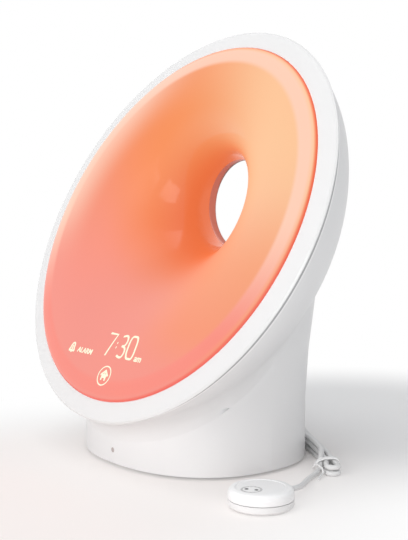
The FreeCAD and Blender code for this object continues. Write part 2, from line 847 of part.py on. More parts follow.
def climb(a, b):
    """Two mirrored arcs that lift a run by one layer."""
    mid = (a + b) * 0.5
    run, rise = V(b.x - a.x, b.y - a.y, 0).Length, b.z - a.z
    radius = (run * run + rise * rise) / (4 * rise)
    sag = run * run / (32 * radius)
    quarter_a, quarter_b = (a * 3 + b) * 0.25, (a + b * 3) * 0.25
    first = Part.Arc(a, quarter_a - V(0, 0, sag), mid).toShape()
    second = Part.Arc(mid, quarter_b + V(0, 0, sag), b).toShape()
    return [first, second]


def hank_edges():
    far, near = hank_length - turn_in, turn_in
    inner = -1
    edges = []
    start = hank_point(hank_tail_along, inner * hank_turn_r, layer_z(0))
    for layer in range(hank_layers):
        z = layer_z(layer)
        last_run = layer == hank_layers - 1
        end = hank_point(hank_exit_along if last_run else near, inner * hank_turn_r, z)
        edges.append(line(start, end))
        if last_run:
            break
        edges.append(half_turn(near, -1, inner, z))
        low = hank_point(near, -inner * hank_turn_r, z)
        high = hank_point(far, -inner * hank_turn_r, layer_z(layer + 1))
        edges += climb(low, high)
        edges.append(half_turn(far, 1, -inner, layer_z(layer + 1)))
        start = hank_point(far, inner * hank_turn_r, layer_z(layer + 1))
    return edges


def self_gap(edges, r, step=1.5):
    """Least distance between surfaces of turns that lie far apart along one cord."""
    points = []
    walked = 0.0
    for edge in edges:
        count = max(2, int(edge.Length / step))
        for p in edge.discretize(Number=count):
            points.append((walked, p))
            walked += edge.Length / count
    near = 1e9
    for i, (si, p) in enumerate(points):
        for sj, q in points[i + 1:]:
            if sj - si > 6 * math.pi * r:
                near = min(near, p.distanceToPoint(q))
    return near - 2 * r


hank_exit = hank_point(hank_exit_along, -hank_turn_r, layer_z(hank_layers - 1))
hank_tail = hank_point(hank_tail_along, -hank_turn_r, layer_z(0))
puck_relief_tip = V(puck_x, puck_y + puck_r + relief_length, lead_exit_z)
plug_front = bay_face_y + 1.0
plug_relief_tip = V(sensor_port_x, plug_front + plug_body_length + plug_relief_length, port_z)

lead_points = [hank_exit, hank_point(1.5, -hank_turn_r, layer_z(hank_layers - 1)), V(84.6, 7.2, 4.4),
               V(84.9, -0.8, 1.5), V(88.0, -6.6, 1.6), V(92.7, -10.8, 2.8),
               puck_relief_tip + V(0, 5.4, 0), puck_relief_tip]
tail_points = [hank_tail, hank_point(hank_tail_along + 8.0, -hank_turn_r, layer_z(0)), V(-8.0, 85.0, 1.5),
               V(-17.0, 88.2, 3.4), V(-24.0, 84.0, 8.6), V(-25.0, 76.5, 14.0),
               plug_relief_tip + V(0, 6.0, 0), plug_relief_tip]


def make_tie():
    """Band round all the passes of the hank near its front."""
    top = layer_z(hank_layers - 1) + lead_r + 0.3
    half = hank_turn_r + lead_r + 0.3
    low = 0.05
    height = top + tie_thick - low
    outer = block(-tie_width / 2, tie_width / 2, -half - tie_thick, half + tie_thick, low, low + height)
    inner = block(-tie_width, tie_width, -half, half, low - 1, top)
    bridge = block(-tie_width / 2, tie_width / 2, -half - tie_thick, half + tie_thick, top, top + tie_thick)
    band = outer.cut(inner).fuse(bridge)
    at = hank_point(tie_from_front, 0, 0)
    angle = math.degrees(math.atan2(hank_heading.y, hank_heading.x))
    return placed(band, FreeCAD.Placement(at, FreeCAD.Rotation(AXIS_Z, angle)))


# Bed sensor

puck_at = V(puck_x, puck_y, 0)


def puck_turn(points):
    return placed(spun(points), FreeCAD.Placement(puck_at, FreeCAD.Rotation()))


def relief_hole(r):
    return cylinder(r, puck_r + 2, puck_at + V(0, 2.0, lead_exit_z), AXIS_Y)


def make_puck_bottom():
    low, top = puck_pad_thick, puck_split
    profile = [(0, low), (puck_pad_r + fit_gap, low), (puck_pad_r + fit_gap, low - 0.1), (puck_r - 1.2, low - 0.1),
               (puck_r, low + 1.0), (puck_r, top), (puck_r - puck_wall, top), (puck_r - puck_wall, low + 1.6),
               (0, low + 1.6)]
    posts = [cylinder(1.8, puck_board_z - low - 1.6, puck_at + V(sx * 7.0, 3.0, low + 1.6)) for sx in (-1, 1)]
    return fuse([puck_turn(profile)] + posts).cut(relief_hole(relief_root_r + 0.1))


def make_puck_top():
    low, top = puck_split + puck_gap, puck_height
    lip = puck_r - puck_wall - fit_gap
    arc = []
    for angle in (0, 30, 60, 90):
        a = math.radians(angle)
        arc.append((puck_r - puck_shoulder * (1 - math.cos(a)), top - puck_shoulder * (1 - math.sin(a))))
    inside = top - 1.6
    profile = [(puck_r, low)] + arc
    profile += [(puck_top_inset_r, top), (puck_top_inset_r - 0.3, top - puck_top_inset), (0, top - puck_top_inset),
                (0, inside), (lip - 2.0, inside), (lip - 1.0, inside - 1.5), (lip - 1.0, low - 1.0),
                (lip, low - 1.0), (lip, low)]
    cover = puck_turn(profile)
    centre = puck_at + V(sense_x, sense_y, inside - 1)
    cuts = [cylinder(sense_hole_r, 5, centre + V(sx * sense_hole_spread, sx * 1.2, 0)) for sx in (-1, 1)]
    cuts += [cylinder(sense_slot_r, 5, centre + p) for p in around(sense_slot_count, sense_slot_ring_r)]
    return cover.cut(Part.makeCompound(cuts)).cut(relief_hole(relief_root_r + 0.1))


def make_relief():
    root = puck_at + V(0, puck_r - 4.0, lead_exit_z)
    body = cylinder(relief_root_r, 4.0, root, AXIS_Y)
    nose = Part.makeCone(relief_root_r, relief_tip_r, relief_length, puck_at + V(0, puck_r, lead_exit_z), AXIS_Y)
    return body.fuse(nose)


def make_puck_board():
    board = cylinder(puck_board_r, puck_board_thick, puck_at + V(0, 0, puck_board_z))
    return board.cut(block(puck_x - 2.6, puck_x + 2.6, puck_y + 6.0, puck_y + 20.0, 0, 9))


def make_puck_chips():
    z = puck_board_z + puck_board_thick
    chips = [block(puck_x - 1.5, puck_x + 1.5, puck_y - 7.0, puck_y - 4.2, z, z + 1.0),
             block(puck_x - 3.0, puck_x + 3.0, puck_y - 1.5, puck_y + 3.5, z, z + 0.9)]
    return Part.makeCompound(chips)


def make_plug_shell():
    y0 = port_front - plug_shell_length
    return port_block(sensor_port_x, plug_shell_half_x, plug_shell_half_z, y0, plug_front)


def make_plug_body():
    body = port_block(sensor_port_x, plug_body_half_x, plug_body_half_z, plug_front, plug_front + plug_body_length)
    body = body.makeFillet(1.2, [e for e in body.Edges if abs(e.tangentAt(e.FirstParameter).y) > 0.9])
    at = V(sensor_port_x, plug_front + plug_body_length, port_z)
    return body.fuse(Part.makeCone(2.5, relief_tip_r, plug_relief_length, at, AXIS_Y))


# Wiring inside

def make_light_harness():
    start = head.multVec(V(40.0, -50.0, -tray_floor_depth))
    below = head.multVec(V(40.0, -50.0, -tray_floor_depth - 9.0))
    points = [start, below, V(34.0, 4.0, 44.0), V(28.0, 6.0, 28.0), V(28.0, 6.0, board_top())]
    return swept(rounded_route("light_harness", points), harness_r)


def make_speaker_leads():
    land_y = 6.0
    top = speaker_z - 10.0
    leads = []
    for x in (-1.6, 1.6):
        points = [V(x, magnet_back, top), V(x, magnet_back - 6.0, top), V(x, magnet_back - 10.0, 42.0),
                  V(2 * x, land_y, 27.0), V(2 * x, land_y, board_top())]
        leads.append(swept(rounded_route("speaker_lead", points), 0.6))
    return Part.makeCompound(leads)


def make_display_ribbon():
    top = head.multVec(V(0, ribbon_up, display_board_back))
    below = head.multVec(V(0, ribbon_up, -tray_floor_depth - 3.0))
    half = ribbon_half_x
    path = [top, below, V(0, below.y + 2.0, 26.0), V(0, below.y + 2.0, board_top())]
    side = [V(-half, p.y, p.z) for p in path]
    back = [V(-half, p.y + ribbon_thick, p.z) for p in reversed(path)]
    return Part.Face(Part.makePolygon(side + back + side[:1])).extrude(V(2 * half, 0, 0))


def make_board_parts():
    z = board_top()
    spots = [(-26, -18, 9, 9, 1.4), (12, -6, 7, 7, 1.2), (-24, 8, 6, 5, 2.0), (30, -22, 4, 8, 3.0),
             (18, 14, 5, 4, 1.8), (-16, -28, 5, 4, 1.2), (-30, -2, 3, 3, 2.2)]
    chips = [block(x - a / 2, x + a / 2, y - b / 2, y + b / 2, z, z + h) for x, y, a, b, h in spots]
    return Part.makeCompound(chips)


def make_capacitors():
    z = board_top()
    spots = [(24, -8, 4.0, 11.0), (34, 10, 3.2, 9.0), (-16, 22, 3.2, 8.0), (2, 22, 2.5, 7.0)]
    return Part.makeCompound([cylinder(r, h, V(x, y, z)) for x, y, r, h in spots])


def make_backup_cell():
    z = board_top()
    holder = tube(8.4, 7.6, 3.0, V(0, -10, z)).fuse(cylinder(8.4, 0.6, V(0, -10, z)))
    return holder


def make_cell():
    return cylinder(7.3, 2.5, V(0, -10, board_top() + 0.6))


in_head = {
    "front_diffuser": make_diffuser(),
    "front_bezel": make_bezel(),
    "light_tray": make_tray(),
    "light_board": make_light_board(),
    "light_leds": make_leds(),
    "tray_screws": make_tray_screws(),
    "display_mask": display_plate(display_mask_back, -display_mask_front).cut(make_display_lights()),
    "display_leds": make_display_lights(),
    "display_board": display_plate(display_board_back, display_mask_back),
    "touch_film": display_plate(-display_mask_front, -display_mask_front + touch_film_thick),
}
for node, shape in in_head.items():
    save(node, placed(shape, head))

upright = {
    "rear_housing": make_housing(),
    "throat_collar": make_collar(),
    "base_plate": make_base_plate(),
    "rubber_feet": make_feet(),
    "base_screws": make_base_screws(),
    "light_sensor_window": cylinder(dot_r - 0.1, 2.2, V(0, -base_half_y, dot_z), AXIS_Y),
    "main_board": make_main_board(),
    "board_screws": make_board_screws(),
    "board_chips": make_board_parts(),
    "board_capacitors": make_capacitors(),
    "cell_holder": make_backup_cell(),
    "backup_cell": make_cell(),
    "rear_bay": make_rear_bay(),
    "aux_socket": make_aux_port(),
    "power_inlet": make_dc_port(),
    "charge_socket": make_charge_port(),
    "sensor_socket": make_sensor_port(),
    "speaker_gasket": make_gasket(),
    "speaker_basket": make_basket(),
    "speaker_magnet": make_magnet(),
    "speaker_cone": make_cone(),
    "speaker_surround": make_surround(),
    "speaker_screws": make_speaker_screws(),
    "light_harness": make_light_harness(),
    "speaker_leads": make_speaker_leads(),
    "display_ribbon": make_display_ribbon(),
    "sensor_bottom_cover": make_puck_bottom(),
    "sensor_top_cover": make_puck_top(),
    "sensor_pad": cylinder(puck_pad_r, puck_pad_thick, puck_at),
    "sensor_board": make_puck_board(),
    "sensor_chips": make_puck_chips(),
    "sensor_relief": make_relief(),
    "sensor_plug_shell": make_plug_shell(),
    "sensor_plug_body": make_plug_body(),
    "cord_tie": make_tie(),
}
for node, shape in upright.items():
    save(node, shape)

hank = hank_edges()
save("sensor_hank", swept(hank, lead_r))
print("hank length", round(route_length(hank), 1), "least gap to itself", round(self_gap(hank, lead_r), 2))
save("sensor_lead", swept(rounded_route("sensor_lead", lead_points), lead_r))
save("sensor_tail", swept(rounded_route("sensor_tail", tail_points), lead_r))
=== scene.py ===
"""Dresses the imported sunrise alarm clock: finishes, lit display, bed-sensor cord and a plain studio."""

import logging
import math
from dataclasses import dataclass, field
from enum import Enum

import bmesh
import bpy
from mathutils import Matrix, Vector
from mathutils.bvhtree import BVHTree


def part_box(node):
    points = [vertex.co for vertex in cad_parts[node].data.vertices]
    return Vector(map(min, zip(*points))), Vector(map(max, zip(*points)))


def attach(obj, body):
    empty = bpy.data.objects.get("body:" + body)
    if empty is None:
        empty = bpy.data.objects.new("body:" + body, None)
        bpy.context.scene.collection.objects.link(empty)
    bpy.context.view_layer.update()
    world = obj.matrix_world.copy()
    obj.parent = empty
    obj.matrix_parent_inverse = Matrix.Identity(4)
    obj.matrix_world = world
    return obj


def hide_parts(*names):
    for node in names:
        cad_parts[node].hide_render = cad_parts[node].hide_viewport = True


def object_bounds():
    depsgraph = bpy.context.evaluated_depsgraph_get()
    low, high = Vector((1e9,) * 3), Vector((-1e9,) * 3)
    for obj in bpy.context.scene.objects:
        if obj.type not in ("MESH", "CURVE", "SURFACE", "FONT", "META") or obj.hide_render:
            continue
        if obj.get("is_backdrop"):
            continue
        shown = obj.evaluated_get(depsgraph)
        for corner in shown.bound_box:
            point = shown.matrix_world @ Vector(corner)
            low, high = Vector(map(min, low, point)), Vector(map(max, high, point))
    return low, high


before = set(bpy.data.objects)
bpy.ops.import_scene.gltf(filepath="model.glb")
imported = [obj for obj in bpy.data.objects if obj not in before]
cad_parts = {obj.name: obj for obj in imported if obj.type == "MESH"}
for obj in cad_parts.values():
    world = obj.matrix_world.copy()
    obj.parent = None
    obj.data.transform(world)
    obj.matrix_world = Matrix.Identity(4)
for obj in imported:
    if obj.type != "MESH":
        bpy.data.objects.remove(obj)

LOG = logging.getLogger("sunrise_alarm_clock")
MM = 0.001
WHITE = (1.0, 1.0, 1.0)

PLASTIC_IOR = 1.49
CLOUD_CELLS = 18.0
CLOUD_DETAIL = 3.0
CLOUD_TINT = 0.05
CLOUD_ROUGHNESS = 0.05
GRAIN_CELLS = 2600.0
GRAIN_ROUGHNESS = 0.08
GRAIN_DEPTH = 0.2 * MM


class Body(str, Enum):
    """The bodies that pieces ride on."""

    CLOCK = "clock"
    SENSOR = "bed_sensor"


class Field:
    """A shader value whose arithmetic adds Math nodes."""

    def __init__(self, net: "Tree", socket: bpy.types.NodeSocket) -> None:
        """Wraps a socket of a tree."""
        self.net = net
        self.socket = socket

    def _math(self, operation: str, *values: "Field | float") -> "Field":
        """Adds one Math node.

        Args:
            operation: the node's operation.
            values: its inputs, fields or numbers.

        Returns:
            The node's result.
        """
        inputs = {i: v for i, v in enumerate(values)}
        node = self.net.node("ShaderNodeMath", {"operation": operation}, inputs)
        return Field(self.net, node.outputs[0])

    def __add__(self, other: "Field | float") -> "Field":
        """Sum."""
        return self._math("ADD", self, other)

    __radd__ = __add__

    def __mul__(self, other: "Field | float") -> "Field":
        """Product."""
        return self._math("MULTIPLY", self, other)

    __rmul__ = __mul__

    def __sub__(self, other: "Field | float") -> "Field":
        """Difference."""
        return self._math("SUBTRACT", self, other)

    def __rsub__(self, other: "Field | float") -> "Field":
        """Difference from a number."""
        return self._math("SUBTRACT", other, self)

    def root(self) -> "Field":
        """Square root."""
        return self._math("SQRT", self)

    def or_more(self, other: "Field") -> "Field":
        """The larger of the two."""
        return self._math("MAXIMUM", self, other)

    def span(self, low: float, high: float) -> "Field":
        """A smooth step from 0 at low to 1 at high.

        Args:
            low: where it is 0.
            high: where it is 1; it may be below low.

        Returns:
            The step.
        """
        sign = 1.0 if high > low else -1.0
        node = self.net.node("ShaderNodeMapRange", {"interpolation_type": "SMOOTHSTEP", "clamp": True},
                             {0: self * sign, 1: low * sign, 2: high * sign, 3: 0.0, 4: 1.0})
        return Field(self.net, node.outputs[0])


class Tree:
    """A node tree whose nodes all come from one method."""

    def __init__(self, tree: bpy.types.NodeTree) -> None:
        """Empties the tree."""
        self.tree = tree
        self.tree.nodes.clear()

    def node(self, kind: str, settings: dict, inputs: dict) -> bpy.types.Node:
        """Adds a node.

        Args:
            kind: its type.
            settings: its properties.
            inputs: socket name or number to a value, a socket or a Field.

        Returns:
            The node.
        """
        node = self.tree.nodes.new(kind)
        for name, value in settings.items():
            setattr(node, name, value)
        for key, value in inputs.items():
            self.feed(node.inputs[key], value)
        return node

    def feed(self, socket: bpy.types.NodeSocket, value: object) -> None:
        """Links or sets one socket.

        Args:
            socket: the input.
            value: a field, a socket, a colour or a number.
        """
        if isinstance(value, Field):
            value = value.socket
        if isinstance(value, bpy.types.NodeSocket):
            self.tree.links.new(value, socket)
        elif isinstance(value, (tuple, Vector)) and socket.type == "RGBA":
            socket.default_value = (*value, 1.0)[:4]
        else:
            socket.default_value = value

    def seen(self) -> Field:
        """Tells the rays that see the background from those that light the clock.

        Returns:
            1 for what the camera sees straight, in gloss or through glass, and 0 for light.
        """
        path = self.node("ShaderNodeLightPath", {}, {})
        seen = Field(self, path.outputs["Is Camera Ray"])
        for ray in ("Is Glossy Ray", "Is Transmission Ray"):
            seen = seen.or_more(Field(self, path.outputs[ray]))
        return seen


class Net(Tree):
    """The node tree of one material, with a Principled shader at its end."""

    def __init__(self, name: str) -> None:
        """Makes the material with an empty tree but for shader and output.

        Args:
            name: the material's name.
        """
        self.material = bpy.data.materials.new(name)
        self.material.use_nodes = True
        super().__init__(self.material.node_tree)
        self.shader = self.node("ShaderNodeBsdfPrincipled", {}, {})
        self.output = self.node("ShaderNodeOutputMaterial", {}, {"Surface": self.shader.outputs[0]})

    def point(self) -> bpy.types.NodeSocket:
        """The place on the object, in metres in the row frame."""
        return self.node("ShaderNodeTexCoord", {}, {}).outputs["Object"]

    def along(self, point: bpy.types.NodeSocket, origin: Vector, direction: Vector) -> Field:
        """The distance of a point from an origin along a direction.

        Args:
            point: the point's socket.
            origin: where the distance is 0.
            direction: a unit vector.

        Returns:
            The distance in metres.
        """
        away = self.node("ShaderNodeVectorMath", {"operation": "SUBTRACT"}, {0: point, 1: origin})
        dot = self.node("ShaderNodeVectorMath", {"operation": "DOT_PRODUCT"},
                        {0: away.outputs[0], 1: direction})
        return Field(self, dot.outputs["Value"])

    def noise(self, point: bpy.types.NodeSocket, scale: float, detail: float = 2.0) -> Field:
        """Noise of that many cells to the metre."""
        node = self.node("ShaderNodeTexNoise", {}, {"Vector": point, "Scale": scale, "Detail": detail})
        return Field(self, node.outputs["Fac"])

    def mix(self, factor: "Field | float", first: object, second: object) -> bpy.types.NodeSocket:
        """A mix of two colours."""
        node = self.node("ShaderNodeMix", {"data_type": "RGBA"}, {0: factor, 6: first, 7: second})
        return node.outputs[2]

    def tint(self, colour: tuple, amount: Field) -> bpy.types.NodeSocket:
        """A colour made lighter or darker.

        Args:
            colour: the colour.
            amount: a factor, near 1 for a faint change.

        Returns:
            The new colour.
        """
        grey = self.node("ShaderNodeCombineColor", {}, {0: amount, 1: amount, 2: amount})
        node = self.node("ShaderNodeMix", {"data_type": "RGBA", "blend_type": "MULTIPLY"},
                         {0: 1.0, 6: colour, 7: grey.outputs[0]})
        return node.outputs[2]

    def bump(self, height: Field, strength: float, distance: float) -> None:
        """Gives the shader's normal that relief."""
        node = self.node("ShaderNodeBump", {},
                         {"Strength": strength, "Distance": distance, "Height": height})
        self.feed(self.shader.inputs["Normal"], node.outputs[0])

    def set(self, **inputs: object) -> "Net":
        """Sets shader sockets.

        Args:
            inputs: socket names, with _ for a space, and their values.

        Returns:
            This net.
        """
        for name, value in inputs.items():
            self.feed(self.shader.inputs[name.replace("_", " ")], value)
        return self


def linear(red: int, green: int, blue: int) -> tuple[float, float, float]:
    """A colour as the shader takes it.

    Args:
        red: 0 to 255 as a screen shows it.
        green: the same.
        blue: the same.

    Returns:
        Three linear parts, 0 to 1.
    """
    parts = []
    for level in (red, green, blue):
        share = level / 255
        parts.append(share / 12.92 if share <= 0.04045 else ((share + 0.055) / 1.055) ** 2.4)
    return tuple(parts)


@dataclass(frozen=True)
class FacePlane:
    """The tilted front plane: x to the right, up the face, and out of it."""

    tilt: float = math.radians(26.3)
    centre: Vector = field(default_factory=lambda: Vector((0.0, -17.0, 123.5)) * MM)

    @property
    def up(self) -> Vector:
        """Up the face."""
        return Vector((0.0, math.sin(self.tilt), math.cos(self.tilt)))

    @property
    def out(self) -> Vector:
        """Out of the face."""
        return Vector((0.0, -math.cos(self.tilt), math.sin(self.tilt)))

    def place(self, x: float, up: float, out: float = 0.0) -> Vector:
        """A point in the row frame from face millimetres."""
        return self.centre + (Vector((x, 0.0, 0.0)) + self.up * up + self.out * out) * MM


FACE = FacePlane()


@dataclass(frozen=True)
class MouldedPlastic:
    """Injection-moulded plastic with a fine grain."""

    name: str
    colour: tuple[float, float, float]
    roughness: float = 0.34
    grain: float = GRAIN_CELLS
    relief: float = 0.05
    coat: float = 0.0
    coat_roughness: float = 0.12
    roughness_drop: float = 0.06

    def material(self) -> bpy.types.Material:
        """Builds the finish.

        Returns:
            The material.
        """
        net = Net(self.name)
        point = net.point()
        cloud = net.noise(point, CLOUD_CELLS, CLOUD_DETAIL)
        fine = net.noise(point, self.grain)
        net.set(Base_Color=net.tint(self.colour, cloud * CLOUD_TINT + (1 - CLOUD_TINT / 2)),
                Roughness=fine * GRAIN_ROUGHNESS + cloud * CLOUD_ROUGHNESS
                + (self.roughness - self.roughness_drop),
                Coat_Weight=self.coat, Coat_Roughness=self.coat_roughness, IOR=PLASTIC_IOR)
        net.bump(fine, self.relief, GRAIN_DEPTH)
        return net.material


@dataclass(frozen=True)
class GlowingLens:
    """Milky lens lit from behind: coral below, amber above, deep orange down the funnel.

    Each pair is where a change of colour begins and ends, in metres across, up or out of the face,
    or from the centre. Each other number is the share that a colour takes.
    """

    name: str = "lens_glow"
    top: tuple = linear(246, 212, 164)
    left: tuple = linear(240, 150, 97)
    bottom: tuple = linear(241, 158, 148)
    amber: tuple = linear(242, 150, 84)
    deep: tuple = linear(232, 112, 60)
    edge: tuple = linear(238, 84, 50)
    edge_low: tuple = linear(240, 104, 98)
    # Colours of the painted highlight: whitish near the top, pinker low down.
    rim_highlight: tuple = linear(253, 224, 202)
    rim_highlight_low: tuple = linear(245, 150, 140)
    share: float = 0.84
    body: float = 0.13
    rise: tuple = (-0.075, 0.065)
    rise_slant: float = 0.28
    to_right: tuple = (-0.05, 0.06)
    hole_up: float = 0.027
    amber_ring: tuple = (0.070, 0.030)
    amber_share: float = 0.80
    flank_right: tuple = (0.0, 0.05)
    flank_top: tuple = (0.02, -0.03)
    flank_foot: tuple = (-0.085, -0.055)
    flank_share: float = 0.45
    funnel: tuple = (-0.002, -0.031)
    funnel_share: float = 0.92
    # Where the painted highlight lies, near the outer edge and over the upper left of the dish.
    rim_highlight_rise: tuple = (-0.062, 0.004)
    rim_highlight_inner: tuple = (0.0880, 0.0912)
    rim_highlight_outer: tuple = (0.0988, 0.0958)
    rim_highlight_share: float = 0.9
    highlight_wash_ring: tuple = (0.066, 0.094)
    highlight_wash_left: tuple = (-0.01, -0.07)
    highlight_wash_rise: tuple = (-0.045, 0.02)
    highlight_wash_share: float = 0.8
    edge_ring: tuple = (0.0978, 0.0992)
    edge_rise: tuple = (-0.07, 0.03)
    edge_share: float = 0.9
    lip_ring: tuple = (0.042, 0.031)
    lip_coat: float = 0.55
    plain_coat: float = 0.03

    def material(self) -> bpy.types.Material:
        """Builds the finish.

        Returns:
            The material.
        """
        net = Net(self.name)
        point = net.point()
        x = net.along(point, FACE.centre, Vector((1.0, 0.0, 0.0)))
        up = net.along(point, FACE.centre, FACE.up)
        out = net.along(point, FACE.centre, FACE.out)
        radius = (x * x + up * up).root()
        high = (up + x * self.rise_slant).span(*self.rise)
        right = x.span(*self.to_right)
        colour = net.mix(high, self.bottom, net.mix(right, self.left, self.top))
        above = up - self.hole_up
        from_hole = (x * x + above * above).root()
        near = from_hole.span(*self.amber_ring)
        colour = net.mix(near * (1.0 - right) * self.amber_share, colour, self.amber)
        flank = x.span(*self.flank_right) * up.span(*self.flank_top) * up.span(*self.flank_foot)
        colour = net.mix(flank * self.flank_share, colour, self.amber)
        down = out.span(*self.funnel)
        colour = net.mix(down * self.funnel_share, colour, self.deep)
        # Painted highlight: a whitish band just inside the outer edge, paler at the top and pinker low,
        # and a whitish patch over the upper left of the dish.
        painted_highlight = net.mix(up.span(*self.rim_highlight_rise), self.rim_highlight_low, self.rim_highlight)
        band = radius.span(*self.rim_highlight_inner) * radius.span(*self.rim_highlight_outer)
        highlight_wash = radius.span(*self.highlight_wash_ring) * x.span(*self.highlight_wash_left) * up.span(*self.highlight_wash_rise)
        colour = net.mix(highlight_wash * self.highlight_wash_share, colour, painted_highlight)
        colour = net.mix(band * self.rim_highlight_share, colour, painted_highlight)
        line = net.mix(up.span(*self.edge_rise), self.edge_low, self.edge)
        colour = net.mix(radius.span(*self.edge_ring) * self.edge_share, colour, line)
        cloud = net.noise(point, 14.0, 1.0)
        glow = net.mix(cloud * 0.10, colour, self.left)
        lip = from_hole.span(*self.lip_ring)
        net.set(Base_Color=net.tint(self.edge, cloud * 0.1 + self.body), Emission_Color=glow,
                Emission_Strength=self.share, Roughness=net.noise(point, 1800.0) * 0.05 + 0.42,
                Specular_IOR_Level=0.2, Coat_Weight=lip * self.lip_coat + self.plain_coat,
                Coat_Roughness=0.11, IOR=PLASTIC_IOR)
        return net.material


@dataclass(frozen=True)
class ThroatCollar:
    """White collar with the lens's glow painted pink at its front edge and painted shade grey at its rear
    one.
    """

    name: str = "collar_painted_glow_and_shade"
    # Painted glow of the lens in pink at the front, and painted shade in grey at the back.
    front: tuple = linear(255, 196, 182)
    middle: tuple = linear(216, 132, 112)
    back: tuple = linear(118, 104, 100)
    glow_band: tuple = (0.05, 0.30)
    shade_band: tuple = (0.72, 0.98)

    def material(self) -> bpy.types.Material:
        """Builds the finish.

        Returns:
            The material.
        """
        net = Net(self.name)
        low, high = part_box("throat_collar")
        depth = net.along(net.point(), Vector((0.0, low[1], 0.0)), Vector((0.0, 1.0, 0.0)))
        reach = high[1] - low[1]
        front, back = ([share * reach for share in band] for band in (self.glow_band, self.shade_band))
        # Painted glow and shade: pink where the lens lights the front, grey where shade falls at the back.
        colour = net.mix(depth.span(*front), self.front, self.middle)
        colour = net.mix(depth.span(*back), colour, self.back)
        cloud = net.noise(net.point(), 60.0)
        net.set(Base_Color=colour, Roughness=cloud * 0.1 + 0.32, Specular_IOR_Level=0.3)
        return net.material


@dataclass(frozen=True)
class HousingShell:
    """White housing, with painted shade next to the bezel's edge and a painted highlight just behind it.
    """

    name: str = "housing_white"
    white: tuple = (0.83, 0.83, 0.833)
    # Painted shade next to the bezel's edge, and a painted highlight just behind it.
    shade: tuple = (0.30, 0.30, 0.31)
    edge_glint: tuple = (0.97, 0.97, 0.97)
    edge_glint_out: tuple = (-0.0052, -0.0046)
    edge_glint_share: float = 0.9
    shade_out: tuple = (-0.0042, -0.0037)
    shade_share: float = 0.8
    roughness: float = 0.30
    relief: float = 0.05

    def material(self) -> bpy.types.Material:
        """Builds the finish.

        Returns:
            The material.
        """
        net = Net(self.name)
        point = net.point()
        out = net.along(point, FACE.centre, FACE.out)
        cloud = net.noise(point, CLOUD_CELLS, CLOUD_DETAIL)
        fine = net.noise(point, GRAIN_CELLS)
        colour = net.tint(self.white, cloud * CLOUD_TINT + (1 - CLOUD_TINT / 2))
        # Painted highlight: a bright line on the housing just behind the bezel; painted shade: a grey line
        # between it and the bezel.
        colour = net.mix(out.span(*self.edge_glint_out) * self.edge_glint_share, colour, self.edge_glint)
        colour = net.mix(out.span(*self.shade_out) * self.shade_share, colour, self.shade)
        net.set(Base_Color=colour, IOR=PLASTIC_IOR,
                Roughness=fine * GRAIN_ROUGHNESS + cloud * CLOUD_ROUGHNESS + self.roughness)
        net.bump(fine, self.relief, GRAIN_DEPTH)
        return net.material


@dataclass(frozen=True)
class SensorTop:
    """White sensor cover with painted shade in its two holes and a ring of fine slots."""

    name: str = "sensor_white_top"
    # Set lighter than the lower cover's white: painted light on the top.
    white: tuple = (0.95, 0.95, 0.953)
    hole_shade: tuple = (0.10, 0.10, 0.10)
    slots: tuple = (0.55, 0.55, 0.55)
    centre: Vector = field(default_factory=lambda: Vector((96.1, -44.5, 9.0)) * MM)
    hole: Vector = field(default_factory=lambda: Vector((1.9, 1.2, 0.0)) * MM)
    hole_shade_edge: tuple = (0.00105, 0.00085)
    ring_inner: tuple = (0.0036, 0.0040)
    ring_outer: tuple = (0.0050, 0.0046)
    ring_share: float = 0.8
    roughness: float = 0.30
    relief: float = 0.05

    def material(self) -> bpy.types.Material:
        """Builds the finish.

        Returns:
            The material.
        """
        net = Net(self.name)
        point = net.point()
        fine = net.noise(point, GRAIN_CELLS)
        colour = net.tint(self.white, fine * 0.04 + 0.98)
        away = self.away(net, point, self.centre)
        ring = away.span(*self.ring_inner) * away.span(*self.ring_outer)
        colour = net.mix(ring * self.ring_share, colour, self.slots)
        # Painted shade: the two holes are coloured near black where shade falls in them.
        for sign in (-1, 1):
            hole = self.away(net, point, self.centre + self.hole * sign)
            colour = net.mix(hole.span(*self.hole_shade_edge), colour, self.hole_shade)
        net.set(Base_Color=colour, Roughness=fine * GRAIN_ROUGHNESS + self.roughness, IOR=PLASTIC_IOR)
        net.bump(fine, self.relief, GRAIN_DEPTH)
        return net.material

    def away(self, net: Net, point: bpy.types.NodeSocket, centre: Vector) -> Field:
        """The level distance of a point from a centre.

        Args:
            net: the tree.
            point: the point's socket.
            centre: the centre.

        Returns:
            The distance in metres.
        """
        across = net.along(point, centre, Vector((1.0, 0.0, 0.0)))
        back = net.along(point, centre, Vector((0.0, 1.0, 0.0)))
        return (across * across + back * back).root()


@dataclass(frozen=True)
class LitPrint:
    """Warm light of the display through the lens."""

    name: str = "display_light"
    colour: tuple = linear(255, 255, 226)
    strength: float = 0.86
    cells: float = 900.0

    def material(self) -> bpy.types.Material:
        """Builds the finish.

        Returns:
            The material.
        """
        net = Net(self.name)
        grain = net.noise(net.point(), self.cells)
        net.set(Base_Color=net.tint(self.colour, grain * 0.1 + 0.1), Emission_Color=self.colour,
                Emission_Strength=self.strength, Roughness=grain * 0.1 + 0.5, Specular_IOR_Level=0.1)
        return net.material


